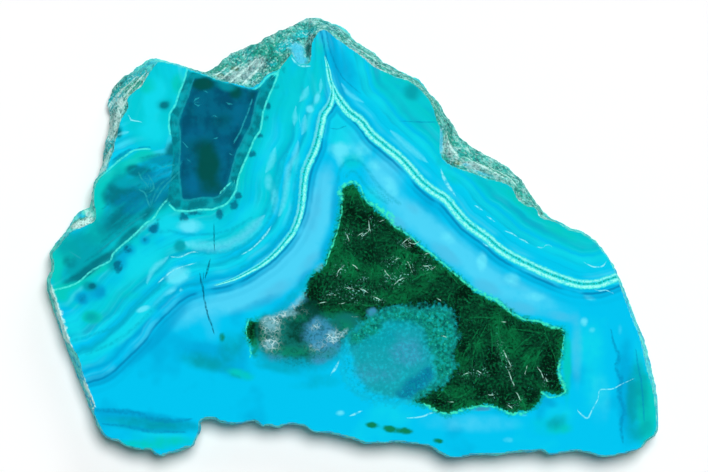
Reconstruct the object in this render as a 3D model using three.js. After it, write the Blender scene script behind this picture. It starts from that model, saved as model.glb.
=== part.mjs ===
// A slice of banded chrysocolla with a patch of malachite: one flat slab of stone, polished on top and sawn below.
// Its edge is natural. Rough rind slopes out from under the polished face along the top and the left, and the rest
// of the edge is a broken wall that leans in towards the sawn back.
// Millimetres, +Z up. The origin is on the sawn back, at the middle of the slice.

import * as THREE from "three";
import { mergeVertices } from "three/addons/utils/BufferGeometryUtils.js";

const SLICE_WIDTH = 86; // tip to tip along X
const THICKNESS = 6.5;

// The outline is read off a view from straight above, in that view's pixels: x to the right, y down.
const VIEW = { left: 46, right: 658.5, top: 16, bottom: 457 };
const MM_PER_PIXEL = SLICE_WIDTH / (VIEW.right - VIEW.left);

const SHOULDER = 0.3; // share of the thickness at which the rind reaches furthest out
const BACK_INSET = 0.75; // how far the wall leans in between the shoulder and the sawn back
const BACK_SMOOTHING = 2.6; // length of edge over which the back's outline evens out
const STATION_SPACING = 0.95; // along the edge, between one column of facets and the next
const LEVELS = [1, 0.985, 0.93, 0.84, 0.73, 0.61, 0.49, 0.38, 0.27, 0.15, 0.04, 0]; // shares of the thickness

const LUMPS = { size: 3.4, height: 0.42 }; // swellings of the rind
const GRAIN = { size: 1.3, height: 0.24 }; // broken grain on the swellings
const PITS = { size: 2.3, depth: 0.75, share: 0.3 }; // hollows where crystals have come out
const WALL_ROUGHNESS = 0.45; // share of that relief on a broken wall with no rind
const EDGE_NICKS = 0.25; // share of it left along the edges of the two flat faces

// One row for each corner of the edge. Two numbers are a point of the polished face's edge with a broken wall below
// it. Four numbers are that point and the foot of the rind, which shows beyond it from above.
const LEFT_FLANK = [
  [103, 432], [97, 423, 97, 423.5], [93.5, 413, 93, 414], [94.5, 406, 89.5, 406], [92, 399, 87, 398],
  [89, 390, 83.5, 390.5], [85, 379, 79, 381], [82, 371, 75.5, 372], [80, 363, 72, 364], [76, 354, 68, 355],
  [71, 346, 65, 346], [67, 336, 61.5, 335], [64, 326, 58.5, 326], [60, 316, 55.5, 316.5], [57, 304, 51.5, 304.5],
  [52, 292, 48.5, 292], [49.5, 281, 46, 281], [51, 276, 47.5, 278], [53, 270, 52.5, 271], [53.5, 263, 52.5, 263],
  [52, 257, 51, 257.5], [52, 253, 50.5, 252.5], [55, 249.5, 54, 249], [58, 246, 57, 245], [62, 241, 61, 240],
  [67, 235.5, 65.5, 234.5], [69.5, 232, 68, 231], [75, 230, 71, 225], [82, 227.5, 75, 219], [89, 224.5, 79, 213.5],
  [94.5, 222, 84, 211], [96, 216, 90.5, 210.5], [94.5, 209, 91, 205], [93.5, 201, 91.2, 200], [93.5, 192, 92.5, 192],
  [94.5, 185, 93.5, 185], [97.5, 180, 95, 181], [100.5, 176, 98, 177],
];
const LEFT_LOBE = [
  [105, 171, 99, 172.5], [107.5, 166, 100.5, 167], [109, 160, 102, 161], [111.5, 154, 103.5, 154],
  [114.5, 149, 105, 149], [115, 143, 106, 143], [117, 137, 109, 138], [118, 131, 110, 131], [119.5, 125, 110, 122],
  [122, 119, 109.5, 117], [126.5, 113, 108, 111], [129.5, 107, 106.5, 105], [127.5, 101, 107, 99],
  [128, 97, 109.5, 93], [132, 93.5, 111.5, 89], [137, 89.5, 115, 85], [142, 87.5, 118, 81], [145, 82, 121.5, 77],
  [148.5, 76, 126, 73], [151.5, 71, 130, 69], [154, 66.5, 134.5, 65.5], [156.5, 62.5, 140, 64], [158, 61.5, 146, 60.5],
  [160, 61.5, 152, 58.5], [165, 62, 158, 60], [171, 63.5, 166, 61.5], [178, 65.5, 174, 63.5], [186, 68, 182, 65.5],
  [192, 70.5, 189, 68], [198, 72.5, 195, 69.5], [203, 74, 201, 72.5],
];
const TOP_RIND = [
  [209, 76.5, 205, 72], [216, 79, 210, 69], [223, 81.5, 215, 65.5], [230, 83, 221, 60], [238, 85.5, 226, 56.5],
  [244, 87.5, 231, 54], [249, 89, 236, 52.5], [254, 89, 241, 49.5], [258, 87, 246, 46.5], [262, 84, 251, 44],
  [264.5, 80, 256, 42.5], [267.5, 77, 260, 40], [272, 74.5, 265, 37], [277, 72.5, 270, 35.5], [280.5, 70, 275, 34],
  [282.5, 66, 279, 31.5], [285, 62.5, 283, 30], [289, 58, 287, 28.5], [292.5, 55.5, 290.5, 26],
];
const PEAK_SCOOP = [
  [294, 59, 293.5, 25.5], [297, 62.5, 296, 23.5], [301, 65.5, 299, 20.5], [306, 67, 302, 19.5], [310, 66, 305, 18.5],
  [311, 60, 308, 17.3], [310.5, 53, 310.5, 16.3], [311, 46, 312.5, 16], [313.5, 40, 315, 16.2], [317, 34, 317.5, 17],
  [320, 30.5, 320, 18], [324, 29, 323, 20], [327.5, 30, 327, 21.5],
];
const UPPER_RIGHT_RIND = [
  [330, 32.5, 330.5, 23.5], [333, 36, 335, 24], [337.5, 40, 340, 25.5], [342, 43, 344, 28], [348, 48, 348.5, 31.5],
  [354, 52, 352, 36.5], [360, 56, 356, 41], [366, 60.5, 361, 45], [372, 64.5, 367, 49.5], [378, 68.5, 373, 54],
  [384, 72, 378, 58], [390, 75, 382, 62.5], [396, 77.5, 388, 67], [402, 79, 395, 70.5], [407, 80, 402, 73],
  [411, 82, 409, 77], [414.5, 85.5, 415, 78.5], [418.5, 89, 419.5, 80.5], [422, 92, 423.5, 85], [426, 96.5, 427, 89.5],
  [429.5, 100.5, 431, 95], [432, 106, 436, 100], [434, 111, 440, 105], [435.5, 117, 444, 111], [437, 122.5, 448, 117],
];
const RIGHT_HOLLOW = [
  [439.5, 127, 452, 122.5], [439.5, 133, 456, 128], [439, 141, 458, 133], [438.5, 149, 462, 138],
  [439.5, 155, 467, 142], [442.5, 160, 471, 146], [446.5, 164.5, 475, 149.5], [450.5, 167, 479, 152],
  [456, 169, 483, 155], [463, 171, 488, 157.5], [470, 173, 493, 160], [477, 176, 498, 163], [485, 179.5, 503, 166],
  [493, 181.5, 507, 169.5], [501, 183, 511, 173], [508, 185, 514.5, 176.5], [513, 188.5, 518, 180],
  [515.5, 193, 521, 184.5], [517, 198, 524, 188.5], [520.5, 202.5, 527.5, 192.5], [525.5, 206, 531, 197],
  [531, 206.5, 534, 201], [535.5, 207.5, 537.5, 205], [538, 211, 541, 209], [539, 215.5, 544, 212.5],
  [543, 218.5, 547, 216], [549, 219.5, 550, 219],
];
const RIGHT_FLANK = [
  [558, 222.5], [564, 226], [569, 230], [576, 231.5], [582, 233], [590, 238.5], [596, 243.5], [601, 249], [606, 255],
  [610, 261], [613.5, 268], [616.5, 275, 617, 275], [619, 283, 620, 283], [622, 291, 623.5, 291],
  [624.5, 299, 627, 299], [628, 308, 631, 308], [632, 318, 635, 318], [636.5, 328, 639, 328], [640.5, 339, 643, 339],
  [643, 350, 645.5, 350], [645.5, 361, 648, 361], [648, 372, 651, 372], [651.5, 384, 654, 384], [654.5, 398, 656, 398],
  [656.5, 411, 657.5, 411], [657.5, 424, 658.5, 424], [656.5, 431, 657.5, 431],
];
const BROKEN_FOOT = [
  [653, 436], [648, 439], [645, 441], [644, 444], [641, 447.5], [637, 450], [632, 450.5], [626, 452.5], [619, 454],
  [612, 455.5], [606, 456.5], [600, 455.5], [592, 453], [585, 451.5], [578, 450], [571, 450.5], [564, 451.5],
  [557, 453], [550, 454], [547, 452.5], [544, 450], [540, 449.5], [533, 451], [520, 451], [510, 452], [500, 453.5],
  [490, 453.5], [480, 453.5], [470, 454], [465, 455.5], [459, 457], [452, 457], [448, 456], [444, 453.5], [439, 451],
  [435, 448], [429, 445], [422, 444], [415, 443], [408, 442], [400, 441], [393, 441], [385, 442.5], [376, 442],
  [368, 443], [362, 441.5], [357, 439], [350, 436.5], [343, 435], [335, 433], [327, 431.5], [318, 432], [312, 430.5],
  [309, 428], [305, 425], [298, 423.5], [290, 423], [283, 424.5], [277, 426.5], [272, 424.5], [267, 424],
  [263, 425.5], [259, 422.5], [256.5, 420], [252, 420], [243, 422], [235, 423], [228, 422], [220, 420.5], [216, 418],
  [211, 417], [205, 417.5], [200, 419.5], [198.5, 423], [199, 429], [197, 434], [194, 440], [192, 446], [186, 446.5],
  [181, 449], [175, 451], [167, 453], [161, 455], [157, 454.5], [154, 452], [152, 449], [141, 449], [133, 447],
  [126, 445.5], [122, 443], [119, 440], [113, 439], [108, 437],
];

// A point of the view, in pixels, as a place on the slice.
function placeOf(x, y) {
  return new THREE.Vector2(
    (x - (VIEW.left + VIEW.right) / 2) * MM_PER_PIXEL,
    ((VIEW.top + VIEW.bottom) / 2 - y) * MM_PER_PIXEL,
  );
}

// The whole edge as pairs of places: the polished face's edge, and the rind's foot under it.
function edgeCorners() {
  const rows = [
    ...LEFT_FLANK, ...LEFT_LOBE, ...TOP_RIND, ...PEAK_SCOOP, ...UPPER_RIGHT_RIND, ...RIGHT_HOLLOW, ...RIGHT_FLANK,
    ...BROKEN_FOOT,
  ];
  // The rows run clockwise, and facets that point outwards need them the other way round.
  return rows.reverse().map(([x, y, footX = x, footY = y]) => ({ face: placeOf(x, y), foot: placeOf(footX, footY) }));
}

// The same pairs, spaced evenly enough for facets of one size.
function edgeStations() {
  const corners = edgeCorners();
  return corners.flatMap((corner, i) => {
    const next = corners[(i + 1) % corners.length];
    const length = Math.max(corner.face.distanceTo(next.face), corner.foot.distanceTo(next.foot));
    const steps = Math.max(1, Math.round(length / STATION_SPACING));
    return Array.from({ length: steps }, (_, k) => ({
      face: corner.face.clone().lerp(next.face, k / steps),
      foot: corner.foot.clone().lerp(next.foot, k / steps),
    }));
  });
}

// A repeatable number from 0 to 1 for a point of a lattice.
function latticeValue(x, y, z) {
  let h = Math.imul(x, 374761393) + Math.imul(y, 668265263) + Math.imul(z, 2147483647);
  h = Math.imul(h ^ (h >>> 13), 1274126177);
  return ((h ^ (h >>> 16)) >>> 0) / 4294967295;
}

// Smooth noise from -1 to 1, with swellings of about the given size.
function noise(point, size) {
  const scaled = point.clone().divideScalar(size);
  const cell = scaled.clone().floor();
  const t = scaled.sub(cell);
  const ease = (v) => v * v * (3 - 2 * v);
  let sum = 0;
  for (const dx of [0, 1])
    for (const dy of [0, 1])
      for (const dz of [0, 1])
        sum +=
          latticeValue(cell.x + dx, cell.y + dy, cell.z + dz) *
          (dx ? ease(t.x) : 1 - ease(t.x)) *
          (dy ? ease(t.y) : 1 - ease(t.y)) *
          (dz ? ease(t.z) : 1 - ease(t.z));
  return 2 * sum - 1;
}

// How far the rough stone stands proud of its smooth form at a point, in millimetres.
function relief(point) {
  const apart = new THREE.Vector3(19.7, -31.3, 7.9); // keeps the pits from following the lumps
  const hollow = Math.max(0, noise(point.clone().add(apart), PITS.size) - 1 + 2 * PITS.share) / (2 * PITS.share);
  return noise(point, LUMPS.size) * LUMPS.height + noise(point, GRAIN.size) * GRAIN.height - hollow * PITS.depth;
}

// For each station, the outward direction of the foot's outline, evened over its neighbours.
function outwardDirections(stations) {
  const count = stations.length;
  const reach = 3;
  return stations.map((_, i) => {
    const along = new THREE.Vector2();
    for (let k = 1; k <= reach; k++)
      along.add(stations[(i + k) % count].foot).sub(stations[(i - k + count) % count].foot);
    return new THREE.Vector2(along.y, -along.x).normalize();
  });
}

// The sawn back's outline: the foot's, evened and drawn in.
function backOutline(stations, outward) {
  const count = stations.length;
  const reach = Math.round(BACK_SMOOTHING / STATION_SPACING);
  return stations.map((_, i) => {
    const mean = new THREE.Vector2();
    for (let k = -reach; k <= reach; k++) mean.add(stations[(i + k + count) % count].foot);
    mean.divideScalar(2 * reach + 1);
    return mean.addScaledVector(outward[i], -BACK_INSET);
  });
}

// The share of the way from the polished face's edge to the foot, at a share of the thickness.
function rindReach(level) {
  if (level <= SHOULDER) return 1;
  const down = (1 - level) / (1 - SHOULDER);
  return 1 - (1 - down) ** 1.35;
}

// One ring of points round the stone at a share of its thickness.
function ringAt(level, stations, outward, back) {
  return stations.map(({ face, foot }, i) => {
    const below = Math.max(0, 1 - level / SHOULDER);
    const place = face.clone().lerp(foot, rindReach(level)).lerp(back[i], below ** 1.5);
    const rind = THREE.MathUtils.smoothstep(foot.distanceTo(face), 0.2, 1.6);
    const point = new THREE.Vector3(place.x, place.y, level * THICKNESS);
    const inside = Math.max(EDGE_NICKS, Math.sqrt(Math.max(0, Math.sin(Math.PI * level))));
    const proud = relief(point) * inside * THREE.MathUtils.lerp(WALL_ROUGHNESS, 1, rind);
    point.x += outward[i].x * proud;
    point.y += outward[i].y * proud;
    point.z += level < 1 && level > SHOULDER ? proud * rind * 0.8 : 0;
    return point;
  });
}

// The triangles of a closed loop of points, as a flat cap.
function capOf(ring, first, facesUp) {
  const contour = ring.map((p) => new THREE.Vector2(p.x, p.y));
  return THREE.ShapeUtils.triangulateShape(contour, [])
    .map(([a, b, c]) => (facesUp ? [a, b, c] : [a, c, b]))
    .flat()
    .map((i) => i + first);
}

function sliceGeometry() {
  const stations = edgeStations();
  const outward = outwardDirections(stations);
  const back = backOutline(stations, outward);
  const rings = LEVELS.map((level) => ringAt(level, stations, outward, back));
  const count = stations.length;
  const index = [...capOf(rings[0], 0, true), ...capOf(rings.at(-1), (rings.length - 1) * count, false)];
  for (let ring = 0; ring < rings.length - 1; ring++)
    for (let i = 0; i < count; i++) {
      const [a, b] = [ring * count + i, ring * count + ((i + 1) % count)];
      const [c, d] = [a + count, b + count];
      index.push(a, c, b, b, c, d);
    }
  const geometry = new THREE.BufferGeometry();
  geometry.setAttribute("position", new THREE.Float32BufferAttribute(rings.flat().flatMap((p) => p.toArray()), 3));
  geometry.setIndex(index);
  return mergeVertices(geometry);
}

function polishedChrysocolla() {
  return new THREE.MeshStandardMaterial({ color: 0x0cb4dc, roughness: 0.3, metalness: 0 });
}

const slice = new THREE.Mesh(sliceGeometry(), polishedChrysocolla());
slice.name = "chrysocolla_slice";

const group = new THREE.Group();
group.add(slice);

export default group;
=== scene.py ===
"""A polished slice of banded chrysocolla with a malachite heart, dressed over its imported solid.

The slice is one stone. Its polished face carries the markings, which are read as pixel places in a straight
view from above and turned to distances that the stone's material paints by. Its edge is rough rind, and its
back is sawn.
"""

import logging
import math
from dataclasses import dataclass, field
from enum import Enum

import bpy
import numpy as np
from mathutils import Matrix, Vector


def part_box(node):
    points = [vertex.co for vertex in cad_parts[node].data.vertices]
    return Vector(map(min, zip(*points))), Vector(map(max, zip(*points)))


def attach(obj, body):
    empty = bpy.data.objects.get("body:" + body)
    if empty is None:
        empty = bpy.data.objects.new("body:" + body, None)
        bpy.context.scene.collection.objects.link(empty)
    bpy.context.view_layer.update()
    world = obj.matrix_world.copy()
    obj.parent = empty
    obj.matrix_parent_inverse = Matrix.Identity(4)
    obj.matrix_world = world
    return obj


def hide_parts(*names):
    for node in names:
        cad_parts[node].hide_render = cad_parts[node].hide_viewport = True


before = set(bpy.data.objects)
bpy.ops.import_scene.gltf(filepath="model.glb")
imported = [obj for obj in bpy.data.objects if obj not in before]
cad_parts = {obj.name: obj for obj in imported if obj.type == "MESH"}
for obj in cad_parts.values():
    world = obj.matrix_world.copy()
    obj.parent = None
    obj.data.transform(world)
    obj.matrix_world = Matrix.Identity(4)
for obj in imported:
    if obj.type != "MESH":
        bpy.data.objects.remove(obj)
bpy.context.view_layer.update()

MM = 0.001
TINY = 1e-6
NODE = "chrysocolla_slice"
log = logging.getLogger(NODE)


class Hue(Enum):
    """The colours of the stone and of the studio, as sRGB hex."""

    CYAN = "#02C3EE"
    CLEAR_CYAN = "#03CBEC"
    SKY = "#4CD2F5"
    PERIWINKLE = "#4CC0E6"
    AQUA = "#10D8EA"
    PALE_AQUA = "#66E8FC"
    TURQUOISE = "#04C8D2"
    DEEP_TURQUOISE = "#06A8C4"
    GREEN_TURQUOISE = "#06C8BC"
    TEAL = "#049AA6"
    DEEP_TEAL = "#05707E"
    TEAL_LINE = "#22A8B4"
    DEEP_CYAN = "#02A2D2"
    DEEP_BLUE = "#0488B8"
    BORDER_BLUE = "#1698A8"
    CRACK = "#04566E"
    POCKET_BLUE = "#066E96"
    INK_BLUE = "#04607E"
    INK = "#044A66"
    GREEN_BLACK = "#03504A"
    MINT = "#4CEEE2"
    MINT_WHITE = "#9CFBF6"
    WHITE = "#BEF8E8"
    PALE_LINE = "#8CF0FA"
    THREAD = "#0A8E7C"
    LEAF = "#0C7C44"
    MALACHITE = "#073C26"
    MALACHITE_BLACK = "#03180F"
    EMERALD = "#08703F"
    FIBRE_LIGHT = "#128A50"
    RIM_GREEN = "#3FEEC0"
    HALO = "#0AA08C"
    MOTTLE_GREEN = "#0A8464"
    MOTTLE_TEAL = "#16A0AE"
    LACE_TEAL = "#0E7068"
    LACE_DARK = "#053F34"
    LACE_BLUE = "#3C92B8"
    LILAC = "#86C6D4"
    LACE_WHITE = "#D2F4F4"
    # Turquoise of the rind, made brighter than it is, as painted light on the rim's shaded walls.
    RIM_TURQUOISE = "#6CF6E4"
    RIND_GREY = "#5CB8AE"
    RIND_PALE = "#B6ECE2"
    RIND_WHITE = "#D2FFF8"
    RIND_LILAC = "#A2C2C4"
    RIND_DARK = "#125654"
    RIND_TEAL = "#10A690"
    RIND_OLIVE = "#6F8A5C"
    WHITE_CARD = "#F9F9F9"
    ROOM_LIGHT = "#F6FBFF"


def linear(hue: Hue) -> tuple[float, float, float, float]:
    """Turns a hue's sRGB hex to the linear colour that shaders take.

    Args:
        hue: The colour to turn.

    Returns:
        Red, green, blue and an alpha of one.
    """
    channels = [int(hue.value[i : i + 2], 16) / 255 for i in (1, 3, 5)]
    curved = [c / 12.92 if c <= 0.04045 else ((c + 0.055) / 1.055) ** 2.4 for c in channels]
    return (*curved, 1.0)


@dataclass(frozen=True)
class TopView:
    """The straight view from above in which the markings are read: pixels, x to the right and y down."""

    width: int = 708
    height: int = 472
    left: float = 46.0
    right: float = 658.5
    top: float = 16.0
    bottom: float = 457.0

    @property
    def pixel(self) -> float:
        """One pixel of the view, in metres on the stone."""
        low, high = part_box(NODE)
        return (high.x - low.x) / (self.right - self.left)

    def pixels_of(self, places: np.ndarray) -> np.ndarray:
        """Turns places on the stone to pixels of the view.

        Args:
            places: One row of x, y (and more) for each place, in metres.

        Returns:
            One row of x, y for each place, in pixels.
        """
        x = (self.left + self.right) / 2 + places[:, 0] / self.pixel
        y = (self.top + self.bottom) / 2 - places[:, 1] / self.pixel
        return np.column_stack([x, y])

    def place_of(self, x: float, y: float) -> tuple[float, float]:
        """Turns a pixel of the view to a place on the stone.

        Args:
            x: The pixel's place to the right.
            y: The pixel's place down.

        Returns:
            The place's x and y, in metres.
        """
        middle = ((self.left + self.right) / 2, (self.top + self.bottom) / 2)
        return (x - middle[0]) * self.pixel, (middle[1] - y) * self.pixel


VIEW = TopView()

# Every row below is x, y in the view's pixels. Where a row has a third number, it is the half width of the
# mark there.
# The deep blue line just inside the double vein, from the left edge over the fork to the right edge.
DIVIDE = (
    (60, 392), (90, 382), (101, 379), (113, 372), (131, 355), (145, 341), (156, 325), (170, 311),
    (184, 299), (200, 292), (215, 289), (226, 287), (238, 283), (250, 277), (262, 269), (272, 262),
    (281, 253), (290, 243), (298, 230), (304, 215), (307, 200), (309, 184), (312, 170), (317, 158),
    (321, 148), (323, 134), (326, 118), (331, 112), (337, 104), (346, 115), (358, 126), (369, 141),
    (382, 152), (395, 163), (404, 172), (418, 188), (431, 199), (442, 206), (452, 218), (464, 231),
    (482, 244), (497, 257), (510, 265), (526, 273), (543, 281), (560, 288), (578, 293), (598, 293),
    (612, 289), (630, 282),
)
# Where the outermost bands began to grow: round the dark pocket on the left, along the rind on the right.
OUTERMOST = (
    (40, 296), (54, 290), (70, 286), (80, 281), (95, 267), (112, 257), (118, 250), (135, 235), (145, 226),
    (152, 221), (160, 210), (168, 202), (181, 211), (199, 210), (214, 209), (224, 205), (237, 187),
    (241, 167), (252, 147), (261, 130), (264, 115), (272, 92), (278, 73), (291, 52), (303, 34), (314, 18),
    (330, 22), (356, 41), (382, 62), (410, 77), (436, 100), (452, 122), (475, 149), (503, 166), (524, 188),
    (547, 216), (569, 228), (590, 238), (606, 255), (616, 272), (640, 268),
)
VEIN_STEM_AND_RIGHT = (
    (325, 57, 0.6), (327, 64, 1.6), (328.5, 72, 2.6), (330, 80, 2.8), (333, 88, 3.2), (337, 96, 4.0),
    (343, 105, 4.8), (350, 113, 5.0), (361, 121, 5.0), (371, 134, 5.0), (384, 145, 5.0), (399, 157, 5.0),
    (407, 165, 5.2), (422, 182, 5.2), (435, 192, 5.2), (446, 199, 5.2), (456, 211, 5.2), (468, 224, 5.2),
    (486, 237, 5.2), (500, 249, 5.2), (513, 257, 5.2), (529, 265, 5.2), (546, 273, 5.2), (562, 279, 5.2),
    (579, 284, 5.0), (596, 284, 5.0), (609, 280, 5.0), (622, 275, 5.0),
)
VEIN_LEFT = (
    (332, 86, 1.6), (332, 95, 3.0), (329, 106, 4.2), (323, 114, 4.8), (319.5, 130, 4.8), (315.5, 146, 4.8),
    (310, 159, 4.8), (305, 171, 4.6), (303, 185, 4.4), (302, 198, 4.2), (299.5, 214, 4.0), (293, 231, 3.8),
    (284, 243, 3.6), (274, 254, 3.4), (262, 264, 3.0), (248, 272, 2.4), (234, 279, 1.8), (216, 285, 0.8),
)
POCKET_OUTER = (
    (187, 70), (182, 86), (177, 100), (174, 107), (170, 113), (169, 122), (170, 133), (172, 145),
    (172, 160), (170, 180), (166, 199), (171, 206), (176, 210), (183, 211), (191, 211), (200, 209.5),
    (212, 209.5), (218, 207), (224, 205.5), (230, 200), (236, 190), (238, 179), (242, 168), (247, 157),
    (251, 147), (255, 138), (260, 131), (262, 122), (263, 113), (266, 104), (269, 96), (273, 87), (277, 77),
    (272, 74), (262, 84), (254, 89), (238, 85), (216, 79), (203, 74),
)
POCKET_INNER = (
    (194, 76), (191, 86), (188, 97), (183, 109), (179, 120), (180, 131), (180, 150), (179, 170), (180, 184),
    (182, 199), (190, 200), (200, 198), (213, 198), (221, 195), (228, 185), (232, 170), (236, 155),
    (241, 144), (246, 134), (251, 125), (254, 112), (256, 102), (260, 90), (254, 90), (238, 87), (216, 81),
    (203, 76),
)
MALACHITE_EDGE = (
    (343, 191), (347, 187), (352, 184), (356, 187), (359, 192), (363, 198), (366, 202), (371, 206),
    (378, 212), (384, 217), (390, 222), (395, 228), (403, 232), (410, 238), (416, 243), (422, 249),
    (430, 254), (440, 262), (445, 267), (452, 272), (458, 277), (464, 282), (470, 288), (475, 293),
    (483, 297), (490, 300), (498, 303), (504, 308), (512, 313), (519, 318), (528, 321), (540, 323),
    (547, 327), (555, 329), (562, 329), (564, 334), (563, 342), (562, 350), (560, 358), (558, 366),
    (557, 374), (560, 380), (563, 388), (564, 393), (556, 394), (549, 393), (543, 390), (541, 395),
    (539, 402), (533, 407), (526, 411), (519, 411), (512, 413), (504, 409), (496, 406), (487, 404),
    (478, 406), (469, 408), (458, 410), (447, 414), (436, 410), (429, 406), (414, 402), (417, 395),
    (423, 387), (428, 379), (426, 368), (420, 350), (412, 334), (400, 322), (380, 325), (365, 322),
    (345, 322), (330, 318), (318, 318), (308, 322), (300, 328), (300, 318), (303, 306), (306, 296),
    (307, 286), (309, 279), (315, 273), (321, 270), (326, 262), (329, 252), (333, 243), (336, 233),
    (339, 222), (341, 210), (342, 200),
)
MOTTLED_EDGE = (
    (346, 346), (349, 336), (356, 330), (362, 324), (370, 319), (378, 314), (386, 311), (398, 308),
    (410, 309), (422, 310), (434, 309), (444, 309), (449, 313), (452, 318), (452, 324), (454, 330),
    (455, 336), (453, 343), (451, 350), (450, 357), (452, 364), (451, 370), (448, 376), (444, 381),
    (438, 384), (432, 387), (425, 391), (418, 396), (410, 401), (400, 403), (386, 401), (372, 399),
    (358, 392), (349, 382), (343, 370), (343, 358),
)
LACE_EDGE = (
    (261, 322), (270, 317), (282, 311), (293, 306), (302, 303), (312, 312), (325, 318), (340, 322),
    (352, 330), (348, 345), (338, 354), (326, 360), (308, 366), (288, 366), (270, 358), (260, 346),
    (258, 334),
)
GREEN_KNOT_EDGE = (
    (249, 322), (256, 320), (262, 323), (262, 331), (259, 338), (256, 345), (250, 343), (246, 333),
)


@dataclass(frozen=True)
class Marks:
    """Thin or narrow marks of one colour that lie well apart, so that one distance field can hold them all.

    Where a row gives no half width, the group's own is used. The field goes out for as many half widths as
    its reach says. The marks cover no more than their most, fade over their soft share, swing to each side,
    and are broken up by as much as they are worn. Thin makes all of a group's rows narrower.
    """

    name: str
    hue: Hue
    rows: tuple[tuple[tuple[float, ...], ...], ...]
    half_width: float = 1.0
    reach: float = 3.0
    most: float = 0.8
    soft: float = 0.5
    swing: float = 0.25
    worn: float = 0.5
    thin: float = 1.0


VEIN_RIGHT = Marks("vein_right", Hue.MINT, (VEIN_STEM_AND_RIGHT,), reach=1.5)
VEIN_LEFT_SIDE = Marks("vein_left", Hue.MINT, (VEIN_LEFT[::-1],), reach=1.5)
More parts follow.
